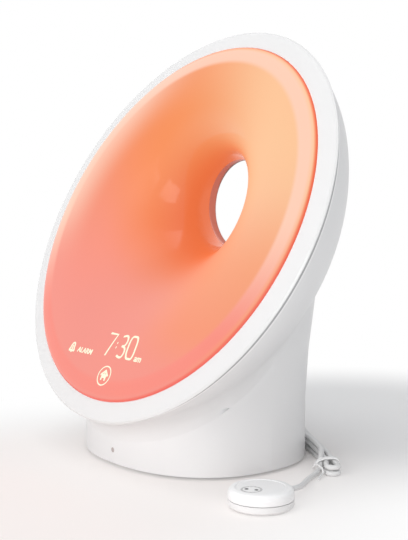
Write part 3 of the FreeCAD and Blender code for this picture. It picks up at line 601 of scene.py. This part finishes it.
@dataclass(frozen=True)
class Metal:
    """Drawn or plated metal with faint brushing."""

    name: str
    colour: tuple[float, float, float]
    roughness: float = 0.3
    stretch: tuple[float, float, float] = (400.0, 4000.0, 4000.0)
    streak_tint: float = 0.16
    streak_roughness: float = 0.15
    streak_depth: float = 0.1 * MM

    def material(self) -> bpy.types.Material:
        """Builds the finish.

        Returns:
            The material.
        """
        net = Net(self.name)
        mapped = net.node("ShaderNodeMapping", {}, {"Vector": net.point(), "Scale": self.stretch})
        lines = net.noise(mapped.outputs[0], 1.0, 3.0)
        net.set(Base_Color=net.tint(self.colour, lines * self.streak_tint + 0.9), Metallic=1.0,
                Roughness=lines * self.streak_roughness + (self.roughness - 0.07))
        net.bump(lines, 0.08, self.streak_depth)
        return net.material


@dataclass(frozen=True)
class CircuitBoard:
    """Green solder mask over copper tracks."""

    name: str = "circuit_board"
    mask: tuple = (0.012, 0.11, 0.045)
    track: tuple = (0.02, 0.19, 0.07)
    cells: float = 260.0
    track_edge: tuple = (0.10, 0.05)

    def material(self) -> bpy.types.Material:
        """Builds the finish.

        Returns:
            The material.
        """
        net = Net(self.name)
        point = net.point()
        cells = net.node("ShaderNodeTexVoronoi", {"distance": "MANHATTAN", "feature": "DISTANCE_TO_EDGE"},
                         {"Vector": point, "Scale": self.cells})
        tracks = Field(net, cells.outputs["Distance"]).span(*self.track_edge)
        net.set(Base_Color=net.mix(tracks, self.mask, self.track), Roughness=tracks * -0.1 + 0.38,
                Coat_Weight=0.3)
        net.bump(tracks, 0.2, 0.05 * MM)
        return net.material


@dataclass(frozen=True)
class Rubber:
    """Matte rubber or foam."""

    name: str
    colour: tuple[float, float, float]
    roughness: float = 0.85
    dust_cells: float = 1400.0
    dust_tint: float = 0.3

    def material(self) -> bpy.types.Material:
        """Builds the finish.

        Returns:
            The material.
        """
        net = Net(self.name)
        dust = net.noise(net.point(), self.dust_cells, 4.0)
        net.set(Base_Color=net.tint(self.colour, dust * self.dust_tint + (1 - self.dust_tint / 2)),
                Roughness=dust * 0.1 + self.roughness - 0.05)
        net.bump(dust, 0.25, GRAIN_DEPTH)
        return net.material


@dataclass(frozen=True)
class Finishes:
    """Every finish on the clock, by the name of the part that wears it."""

    nodes: dict = field(default_factory=lambda: {
        "front_bezel": MouldedPlastic("bezel_white", (0.78, 0.78, 0.78), 0.24, relief=0.02, coat=0.2),
        "rear_housing": HousingShell(),
        "throat_collar": ThroatCollar(),
        "light_tray": MouldedPlastic("tray_white", (0.86, 0.86, 0.85), 0.5),
        "base_plate": MouldedPlastic("base_grey", (0.42, 0.42, 0.43), 0.5),
        "display_mask": MouldedPlastic("mask_black", (0.02, 0.02, 0.02), 0.5),
        "touch_film": MouldedPlastic("film_amber", (0.55, 0.30, 0.09), 0.2),
        "light_sensor_window": MouldedPlastic("window_smoke", (0.50, 0.43, 0.42), 0.15),
        "board_chips": MouldedPlastic("chip_black", (0.02, 0.02, 0.022), 0.45),
        "sensor_chips": MouldedPlastic("sensor_chip_black", (0.02, 0.02, 0.022), 0.45),
        "cell_holder": MouldedPlastic("holder_black", (0.03, 0.03, 0.03), 0.45),
        "rear_bay": MouldedPlastic("bay_white", (0.83, 0.83, 0.835), 0.4),
        "aux_socket": MouldedPlastic("aux_black", (0.025, 0.025, 0.025), 0.4),
        "power_inlet": MouldedPlastic("inlet_black", (0.025, 0.025, 0.025), 0.4),
        "speaker_basket": MouldedPlastic("basket_black", (0.03, 0.03, 0.03), 0.5),
        "sensor_bottom_cover": MouldedPlastic("sensor_white_low", (0.86, 0.86, 0.86), 0.34),
        "sensor_top_cover": SensorTop(),
        "sensor_relief": MouldedPlastic("relief_white", (0.80, 0.80, 0.80), 0.5),
        "sensor_plug_body": MouldedPlastic("plug_white", (0.82, 0.82, 0.82), 0.42),
        "light_harness": MouldedPlastic("harness_red", (0.55, 0.05, 0.04), 0.45),
        "speaker_leads": MouldedPlastic("lead_black", (0.03, 0.03, 0.03), 0.45),
        "display_ribbon": MouldedPlastic("ribbon_white", (0.75, 0.76, 0.78), 0.4),
        "light_leds": MouldedPlastic("led_cream", (0.86, 0.76, 0.42), 0.3),
        "display_leds": MouldedPlastic("led_amber", (0.86, 0.72, 0.35), 0.3),
        "rubber_feet": Rubber("foot_rubber", (0.05, 0.05, 0.052)),
        "speaker_gasket": Rubber("gasket_foam", (0.03, 0.03, 0.03)),
        "speaker_cone": Rubber("cone_paper", (0.06, 0.06, 0.065), 0.8),
        "speaker_surround": Rubber("surround_rubber", (0.02, 0.02, 0.02), 0.6),
        "sensor_pad": Rubber("pad_grey", (0.35, 0.35, 0.36)),
        "tray_screws": Metal("tray_screw_zinc", (0.72, 0.72, 0.70)),
        "base_screws": Metal("base_screw_zinc", (0.72, 0.72, 0.70)),
        "board_screws": Metal("board_screw_zinc", (0.72, 0.72, 0.70)),
        "speaker_screws": Metal("speaker_screw_black", (0.10, 0.10, 0.10)),
        "board_capacitors": Metal("capacitor_aluminium", (0.70, 0.71, 0.73)),
        "backup_cell": Metal("cell_steel", (0.74, 0.74, 0.72), 0.2),
        "charge_socket": Metal("charge_shell", (0.70, 0.70, 0.70), 0.25),
        "sensor_socket": Metal("sensor_socket_shell", (0.70, 0.70, 0.70), 0.25),
        "sensor_plug_shell": Metal("plug_shell", (0.76, 0.76, 0.75), 0.2),
        "speaker_magnet": Metal("magnet_nickel", (0.55, 0.55, 0.56), 0.35),
        "light_board": CircuitBoard("light_board_mask", (0.70, 0.70, 0.68), (0.78, 0.78, 0.76)),
        "display_board": CircuitBoard("display_board_mask"),
        "main_board": CircuitBoard("main_board_mask"),
        "sensor_board": CircuitBoard("sensor_board_mask"),
        "front_diffuser": GlowingLens(),
    })

    def dress(self) -> None:
        """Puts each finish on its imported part."""
        for name, finish in self.nodes.items():
            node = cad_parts[name]
            made = finish.material()
            node.data.materials.clear()
            node.data.materials.append(made)
            LOG.info("finish %s on %s", made.name, name)


def new_piece(name: str, mesh: bpy.types.Mesh, finish: bpy.types.Material, body: Body) -> bpy.types.Object:
    """Adds a piece that is already in place.

    Args:
        name: the piece's name.
        mesh: its mesh, in the row frame.
        finish: its material.
        body: what it rides on.

    Returns:
        The piece.
    """
    piece = bpy.data.objects.new(name, mesh)
    bpy.context.scene.collection.objects.link(piece)
    mesh.materials.clear()
    mesh.materials.append(finish)
    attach(piece, body.value)
    LOG.info("piece %s, %d faces", name, len(mesh.polygons))
    return piece


def curve_mesh(curve: bpy.types.Curve) -> bpy.types.Mesh:
    """Turns curve or text data into a mesh and drops the curve.

    Args:
        curve: the curve or text.

    Returns:
        The mesh.
    """
    holder = bpy.data.objects.new("outline", curve)
    bpy.context.scene.collection.objects.link(holder)
    bpy.context.view_layer.update()
    mesh = bpy.data.meshes.new_from_object(holder.evaluated_get(bpy.context.evaluated_depsgraph_get()))
    bpy.data.objects.remove(holder)
    bpy.data.curves.remove(curve)
    return mesh


@dataclass
class Display:
    """Digits and signs that shine through the lens near its lower edge."""

    stroke: float = 0.60
    lean: float = 0.27
    film: float = 0.12
    lift: float = 0.10
    height: float = 12.4
    low: float = -77.2
    above_lens: float = 30.0
    longest_edge: float = 2.0
    half_day_at: tuple[float, float, float] = (20.6, -76.9, 5.0)
    alarm_at: tuple[float, float, float] = (-28.4, -78.4, 4.0)
    bell_centre: tuple[float, float] = (-33.6, -76.6)
    bell_stroke: float = 0.5
    home_centre: tuple[float, float] = (2.9, -87.2)
    home_radius: float = 5.1
    ring_stroke: float = 0.34
    sign_stroke: float = 0.55

    def __post_init__(self) -> None:
        """Reads the lens that the light falls on."""
        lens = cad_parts["front_diffuser"].data
        self.lens = BVHTree.FromPolygons([v.co.copy() for v in lens.vertices],
                                         [tuple(p.vertices) for p in lens.polygons])
        self.finish = LitPrint().material()

    def lay_on_lens(self, mesh: bpy.types.Mesh) -> None:
        """Moves a flat mesh in face millimetres onto the lens.

        Args:
            mesh: its x and y are across and up the face, its z the film's thickness.
        """
        shape = bmesh.new()
        shape.from_mesh(mesh)
        long_edges = [e for e in shape.edges if e.calc_length() > self.longest_edge]
        bmesh.ops.subdivide_edges(shape, edges=long_edges, cuts=2)
        bmesh.ops.triangulate(shape, faces=shape.faces)
        for corner in shape.verts:
            x, up, thick = corner.co
            found = self.lens.ray_cast(FACE.place(x, up, self.above_lens), -FACE.out)[0]
            corner.co = found + FACE.out * (thick + self.lift) * MM
        bmesh.ops.recalc_face_normals(shape, faces=shape.faces)
        shape.to_mesh(mesh)
        shape.free()

    def strokes(self, name: str, runs: list, width: float) -> None:
        """Draws lines of light.

        Args:
            name: the piece's name.
            runs: (points, smooth, closed) for each line.
            width: half the width of a line.
        """
        curve = bpy.data.curves.new(name, "CURVE")
        curve.dimensions = "3D"
        curve.bevel_depth = width
        curve.bevel_resolution = 1
        curve.use_fill_caps = True
        for points, smooth, closed in runs:
            spline = curve.splines.new("NURBS" if smooth else "POLY")
            spline.points.add(len(points) - 1)
            for knot, (x, y) in zip(spline.points, points):
                knot.co = (x, y, 0.0, 1.0)
            if smooth:
                spline.order_u = 3
                spline.use_endpoint_u = not closed
                spline.resolution_u = 5
            spline.use_cyclic_u = closed
        mesh = curve_mesh(curve)
        for corner in mesh.vertices:
            corner.co.z *= self.film / width
        self.lay_on_lens(mesh)
        new_piece(name, mesh, self.finish, Body.CLOCK)

    def words(self, name: str, text: str, x: float, up: float, size: float) -> None:
        """Writes a small word of light.

        Args:
            name: the piece's name.
            text: the word.
            x: where it begins, across the face in millimetres.
            up: its base line, up the face.
            size: the size of its letters.
        """
        curve = bpy.data.curves.new(name, "FONT")
        curve.body = text
        curve.size = size
        curve.extrude = self.film
        curve.offset = 0.05
        curve.resolution_u = 3
        mesh = curve_mesh(curve)
        for corner in mesh.vertices:
            corner.co.x += x
            corner.co.y += up
        self.lay_on_lens(mesh)
        new_piece(name, mesh, self.finish, Body.CLOCK)

    def ring(self, centre: tuple[float, float], radius: float) -> list:
        """Points of a closed ring."""
        turns = [2 * math.pi * i / 12 for i in range(12)]
        return [(centre[0] + radius * math.cos(t), centre[1] + radius * math.sin(t)) for t in turns]

    def scaled(self, points: list, x: float) -> list:
        """Glyph points in twelfths of the digit height, set down at x and leant back."""
        unit = self.height / 12
        return [(x + (px + self.lean * (12.0 - py)) * unit, self.low + py * unit) for px, py in points]

    def build(self) -> None:
        """Draws the time, its small marks and the touch sign."""
        seven = [(0.0, 11.9), (5.9, 11.9), (1.0, 0.1)]
        three_top = [(0.4, 11.3), (2.0, 12.1), (4.4, 12.0), (5.2, 9.0), (3.8, 6.5), (1.8, 6.4)]
        three_low = [(1.8, 6.4), (4.4, 6.4), (5.5, 3.8), (4.2, 0.8), (1.9, 0.5), (0.0, 1.3)]
        nought = [(0.0, 6.6), (0.0, 9.8), (1.0, 12.4), (3.1, 12.4), (5.2, 12.4), (6.2, 9.8),
                  (6.2, 6.6), (6.2, 3.4), (5.2, 0.8), (3.1, 0.8), (1.0, 0.8), (0.0, 3.4)]
        self.strokes("display_time", [
            (self.scaled(seven, -8.7), False, False),
            (self.scaled(three_top, 2.0), True, False),
            (self.scaled(three_low, 2.0), True, False),
            (self.scaled(nought, 9.4), True, True),
            (self.scaled([(-0.15, 7.6), (0.25, 7.6)], -0.6), False, False),
            (self.scaled([(-0.15, 5.2), (0.25, 5.2)], -0.6), False, False),
        ], self.stroke)
        self.words("display_half_day", "am", *self.half_day_at)
        self.words("display_alarm_word", "ALARM", *self.alarm_at)
        cx, cy = self.home_centre
        ring = self.ring(self.home_centre, self.home_radius)
        self.strokes("display_home_ring", [(ring, True, True)], self.ring_stroke)
        roof = [(-2.9, 0.1), (0.0, 2.8), (2.9, 0.1)]
        walls = [[(-1.5, 0.6), (-1.5, -2.5)], [(0.0, 2.2), (0.0, -0.7)], [(1.5, 0.6), (1.5, -2.5)],
                 [(-1.5, 0.3), (1.5, 0.3)], [(-1.5, -0.7), (1.5, -0.7)]]
        self.strokes("display_home_sign", [([(cx + x, cy + y) for x, y in line], False, False)
                                           for line in [roof, *walls]], self.sign_stroke)
        bell = [(-2.3, -1.8), (-1.5, -0.8), (-1.4, 1.0), (-0.8, 2.2), (0.0, 2.5), (0.8, 2.2),
                (1.4, 1.0), (1.5, -0.8), (2.3, -1.8)]
        bx, by = self.bell_centre
        self.strokes("display_bell", [([(bx + x, by + y) for x, y in bell], True, False),
                                      ([(bx - 2.3, by - 1.9), (bx + 2.3, by - 1.9)], False, False),
                                      ([(bx, by - 2.9), (bx, by + 1.2)], False, False)],
                     self.bell_stroke)


@dataclass
class SensorCord:
    """The bed sensor's lead, from its plug behind the clock through a tied hank to the puck."""

    radius: float = 1.3
    front: Vector = field(default_factory=lambda: Vector((84.5, 19.0, 0.0)))
    heading: Vector = field(default_factory=lambda: Vector((-0.798, 0.602, 0.0)))
    side: Vector = field(default_factory=lambda: Vector((0.602, 0.798, 0.0)))
    half_width: float = 3.2
    drawn_in: float = 1.5
    tied: float = 1.8
    fold: float = 3.46
    layers: tuple[float, ...] = (1.35, 4.45, 7.55)
    near: float = 4.5
    far: float = 100.5
    real_length: float = 0.620
    bend_from: float = 20.0
    bend_over: float = 65.0
    bend_depth: float = 8.5

    def bend(self, along: float) -> float:
        """How far the hank has bent towards the clock, that far along it."""
        share = min(max((along - self.bend_from) / self.bend_over, 0.0), 1.0)
        return -self.bend_depth * share * share * (3.0 - 2.0 * share)

    def spot(self, along: float, across: float, height: float) -> Vector:
        """A point of the hank, in millimetres in the row frame."""
        place = self.front + self.heading * along + self.side * (across + self.bend(along))
        return Vector((place.x, place.y, height))

    def folded(self, centre: float, outward: float, first: float, height: float) -> list[Vector]:
        """The knots of one fold.

        Args:
            centre: where along the hank its centre is.
            outward: 1 at the far end and -1 at the near one.
            first: the side it comes from, 1 or -1.
            height: its height.

        Returns:
            Four knots round the fold.
        """
        knots = []
        for degrees in (22.5, 67.5, 112.5, 157.5):
            turn = math.radians(degrees)
            knots.append(self.spot(centre + outward * self.fold * math.sin(turn),
                                   first * self.fold * math.cos(turn), height))
        return knots

    def hank(self) -> list[Vector]:
        """Lays the tied hank.

        Returns:
            Its knots, from the tail's side to the lead's.
        """
        knots = [self.spot(96.0, -self.half_width, self.layers[0])]
        last = len(self.layers) - 1
        for level, height in enumerate(self.layers):
            knots += [self.spot(a, -self.drawn_in, height) for a in (70.0, 48.0, 26.0)]
            if level == last:
                break
            above = self.layers[level + 1]
            knots.append(self.spot(13.0, -self.tied, height))
            knots += self.folded(self.near, -1.0, -1.0, height)
            knots += [self.spot(a, across, height + share * (above - height))
                      for a, across, share in ((13.0, self.tied, 0.02), (26.0, self.drawn_in, 0.10),
                                               (48.0, self.drawn_in, 0.40), (70.0, self.drawn_in, 0.80),
                                               (90.0, self.half_width, 0.98))]
            knots += self.folded(self.far, 1.0, 1.0, above)
            knots.append(self.spot(90.0, -self.half_width, above))
        return knots

    def route(self) -> list[Vector]:
        """Lays the whole cord.

        Returns:
            Every knot, in metres, from the plug to the puck.
        """
        tail = [Vector(p) for p in ((-25.0, 64.2, 16.0), (-25.0, 70.2, 16.0), (-25.0, 76.5, 14.0),
                                    (-24.0, 84.0, 8.6), (-17.0, 88.2, 3.4), (-8.0, 85.0, 1.5))]
        tail.append(self.spot(104.0, -self.half_width, self.layers[0]))
        lead = [self.spot(18.0, -3.8, 6.1), self.spot(11.5, -4.8, 3.6), self.spot(5.7, -6.2, 1.6)]
        lead += [Vector(p) for p in ((82.6, 3.0, 1.5), (88.2, -5.0, 1.9), (93.4, -12.8, 3.3),
                                     (96.1, -17.0, 4.4), (96.1, -20.8, 4.4))]
        return [knot * MM for knot in tail + self.hank() + lead]

    def build(self) -> None:
        """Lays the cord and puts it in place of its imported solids."""
        knots = self.route()
        curve = bpy.data.curves.new("sensor_cord", "CURVE")
        curve.dimensions = "3D"
        curve.bevel_depth = self.radius * MM
        curve.bevel_resolution = 4
        curve.use_fill_caps = True
        spline = curve.splines.new("NURBS")
        spline.points.add(len(knots) - 1)
        for point, knot in zip(spline.points, knots):
            point.co = (*knot, 1.0)
        spline.order_u = 3
        spline.use_endpoint_u = True
        spline.resolution_u = 6
        cord = bpy.data.objects.new("sensor_cord", curve)
        bpy.context.scene.collection.objects.link(cord)
        jacket = MouldedPlastic("cord_jacket", (0.80, 0.80, 0.80), 0.46, grain=1600.0, relief=0.12)
        curve.materials.append(jacket.material())
        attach(cord, Body.SENSOR.value)
        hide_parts("sensor_hank", "sensor_lead", "sensor_tail")
        clip, tail = CordTie(self).build()
        LOG.info("piece sensor_cord, %d knots", len(knots))


@dataclass
class CordTie:
    """White clip drawn round the hank and the lead, with its bent tail."""

    cord: SensorCord
    along: float = 11.8
    width: float = 3.4
    wall: float = 0.8
    clearance: float = 0.2
    edge: float = 0.22
    foot: float = 0.6
    tail_radius: float = 0.5
    held: tuple = ((-4.8, 3.7), (2.1, 1.4), (2.1, 4.5), (-2.1, 4.5))

    def hull(self, direction: Vector) -> Vector:
        """Finds the clip's middle line.

        Args:
            direction: a unit vector, as across and height.

        Returns:
            The line's point in that direction, as across and height.
        """
        reach = self.cord.radius + self.clearance + self.wall / 2
        far = max(self.held, key=lambda centre: Vector(centre).dot(direction))
        return Vector(far) + direction * reach

    def clip(self) -> bpy.types.Object:
        """Makes the band that goes over the hank from floor to floor.

        Returns:
            The piece.
        """
        shape = bmesh.new()
        bmesh.ops.create_circle(shape, segments=40, radius=1.0)
        bmesh.ops.delete(shape, geom=[v for v in shape.verts if v.co.y < -0.35], context="VERTS")
        for corner in shape.verts:
            across, height = self.hull(Vector((corner.co.x, corner.co.y)).normalized())
            corner.co = self.cord.spot(self.along - self.width / 2, across, max(height, self.foot)) * MM
        ribbon = bmesh.ops.extrude_edge_only(shape, edges=shape.edges[:])["geom"]
        far_side = [part for part in ribbon if isinstance(part, bmesh.types.BMVert)]
        bmesh.ops.translate(shape, verts=far_side, vec=self.cord.heading * self.width * MM)
        bmesh.ops.recalc_face_normals(shape, faces=shape.faces)
        mesh = bpy.data.meshes.new("tie_clip")
        shape.to_mesh(mesh)
        shape.free()
        mesh.shade_smooth()
        finish = MouldedPlastic("clip_white", (0.88, 0.88, 0.88), 0.3, coat=0.2).material()
        piece = new_piece("tie_clip", mesh, finish, Body.SENSOR)
        solid = piece.modifiers.new("wall", "SOLIDIFY")
        solid.thickness = self.wall * MM
        solid.offset = 0.0
        bevel = piece.modifiers.new("edges", "BEVEL")
        bevel.width = self.edge * MM
        bevel.segments = 2
        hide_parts("cord_tie")
        return piece

    def tail(self) -> bpy.types.Object:
        """Makes the loose end that loops over the lead and lies in front.

        Returns:
            The piece.
        """
        knots = [self.cord.spot(*spot) for spot in (
            (12.0, -4.6, 6.4), (10.8, -7.4, 4.8), (11.0, -8.3, 1.2), (9.4, -8.6, 2.6), (7.9, -7.4, 4.4),
            (3.9, -5.9, 4.4), (1.6, -4.6, 2.4), (0.4, -5.9, 1.2), (-5.3, -8.3, 0.6))]
        curve = bpy.data.curves.new("tie_tail", "CURVE")
        curve.dimensions = "3D"
        curve.bevel_depth = self.tail_radius * MM
        curve.bevel_resolution = 2
        curve.use_fill_caps = True
        spline = curve.splines.new("NURBS")
        spline.points.add(len(knots) - 1)
        for point, knot in zip(spline.points, knots):
            point.co = (*(knot * MM), 1.0)
        spline.order_u = 3
        spline.use_endpoint_u = True
        spline.resolution_u = 6
        mesh = curve_mesh(curve)
        finish = MouldedPlastic("tail_white", (0.86, 0.86, 0.86), 0.35).material()
        return new_piece("tie_tail", mesh, finish, Body.SENSOR)

    def build(self) -> tuple[bpy.types.Object, bpy.types.Object]:
        """Makes the clip and its tail."""
        return self.clip(), self.tail()


@dataclass
class Studio:
    """Floor, surround, lamps and camera."""

    aim: Vector = field(default_factory=lambda: Vector((3.33, 4.11, 96.0)) * MM)
    azimuth: float = math.radians(51.0)
    elevation: float = math.radians(4.62)
    distance: float = 0.540
    lens: float = 68.3
    floor_colour: tuple = (0.93, 0.93, 0.93)
    # Pink of the painted glow of the lens on the floor.
    painted_glow_colour: tuple = (0.97, 0.90, 0.87)
    shade_centre: Vector = field(default_factory=lambda: Vector((0.0, 0.12, 0.0)))
    shade_reach: tuple = (0.075, 0.19)
    front_centre: Vector = field(default_factory=lambda: Vector((0.01, -0.09, 0.0)))
    front_reach: tuple = (0.20, 0.07)
    front_share: float = 0.62
    least_fade: float = 0.06
    floor_half: float = 4.0
    soft_colour: tuple = (0.97, 0.98, 1.0)
    soft_strength: float = 0.49

    def camera(self) -> None:
        """Sets the camera at the photograph's place."""
        made = bpy.data.cameras.new("view")
        made.lens = self.lens
        made.sensor_width = 36.0
        made.clip_start = 0.01
        holder = bpy.data.objects.new("view", made)
        away = Vector((math.sin(self.azimuth) * math.cos(self.elevation),
                       -math.cos(self.azimuth) * math.cos(self.elevation), math.sin(self.elevation)))
        holder.location = self.aim + away * self.distance
        holder.rotation_euler = (-away).to_track_quat("-Z", "Y").to_euler()
        bpy.context.scene.collection.objects.link(holder)
        bpy.context.scene.camera = holder

    def away(self, net: Net, centre: Vector) -> Field:
        """The distance on the floor from a centre."""
        offset = net.node("ShaderNodeVectorMath", {"operation": "DISTANCE"}, {0: net.point(), 1: centre})
        return Field(net, offset.outputs["Value"])

    def floor(self) -> None:
        """Lays the floor and marks it as no part of the clock."""
        shape = bmesh.new()
        bmesh.ops.create_grid(shape, x_segments=1, y_segments=1, size=self.floor_half)
        mesh = bpy.data.meshes.new("floor")
        shape.to_mesh(mesh)
        shape.free()
        net = Net("floor_white")
        speck = net.noise(net.point(), 300.0)
        white = net.node("ShaderNodeEmission", {}, {"Color": WHITE, "Strength": 1.0})
        open_floor = self.away(net, self.shade_centre).span(*self.shade_reach)
        front = self.away(net, self.front_centre).span(*self.front_reach)
        plain = net.tint(self.floor_colour, speck * 0.01 + 0.995)
        # Painted glow: the floor in front of the clock is tinted pink for the lens's light on it.
        net.set(Base_Color=net.mix(front, plain, self.painted_glow_colour), Roughness=0.9, Specular_IOR_Level=0.1)
        fade = (open_floor * (1.0 - self.least_fade) + self.least_fade) * (1.0 - front * self.front_share)
        lift = net.node("ShaderNodeMixShader", {}, {0: net.seen() * fade, 1: net.shader.outputs[0],
                                                    2: white.outputs[0]})
        net.feed(net.output.inputs[0], lift.outputs[0])
        mesh.materials.append(net.material)
        holder = bpy.data.objects.new("floor", mesh)
        bpy.context.scene.collection.objects.link(holder)
        holder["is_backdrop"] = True

    def lamp(self, name: str, place: tuple, size: float, watts: float, colour: tuple) -> None:
        """Adds a soft square lamp that looks at the clock.

        Args:
            name: its name.
            place: where it hangs, in metres.
            size: its side.
            watts: its power.
            colour: its colour.
        """
        light = bpy.data.lights.new(name, "AREA")
        light.size = size
        light.energy = watts
        light.color = colour
        holder = bpy.data.objects.new(name, light)
        holder.location = place
        holder.rotation_euler = (self.aim - Vector(place)).to_track_quat("-Z", "Y").to_euler()
        bpy.context.scene.collection.objects.link(holder)

    def world(self) -> None:
        """Gives a plain surround, white where it is seen."""
        world = bpy.data.worlds.new("surround")
        world.use_nodes = True
        tree = Tree(world.node_tree)
        white = tree.node("ShaderNodeBackground", {}, {"Color": WHITE})
        soft = tree.node("ShaderNodeBackground", {},
                         {"Color": self.soft_colour, "Strength": self.soft_strength})
        blend = tree.node("ShaderNodeMixShader", {},
                          {0: tree.seen(), 1: soft.outputs[0], 2: white.outputs[0]})
        tree.node("ShaderNodeOutputWorld", {}, {"Surface": blend.outputs[0]})
        bpy.context.scene.world = world

    def build(self) -> None:
        """Sets the whole studio."""
        self.camera()
        self.floor()
        self.world()
        self.lamp("key", (0.25, -1.8, 0.8), 1.0, 11.8, (1.0, 0.995, 0.99))
        self.lamp("top", (-0.1, -0.4, 1.9), 1.2, 9.0, (1.0, 1.0, 1.0))
        self.lamp("fill", (1.2, -1.0, 0.35), 0.8, 5.0, (1.0, 0.995, 0.99))
        bpy.context.scene.view_settings.view_transform = "Standard"


def main(cad_box: list) -> None:
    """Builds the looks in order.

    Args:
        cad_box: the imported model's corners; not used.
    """
    Studio().build()
    SensorCord().build()
    Finishes().dress()
    Display().build()


def corners() -> list:
    """The object's lowest and highest corner as plain lists."""
    return [[float(v) for v in corner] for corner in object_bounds()]


if __name__ == "__main__":
    logging.basicConfig(level=logging.INFO)
    main(corners())
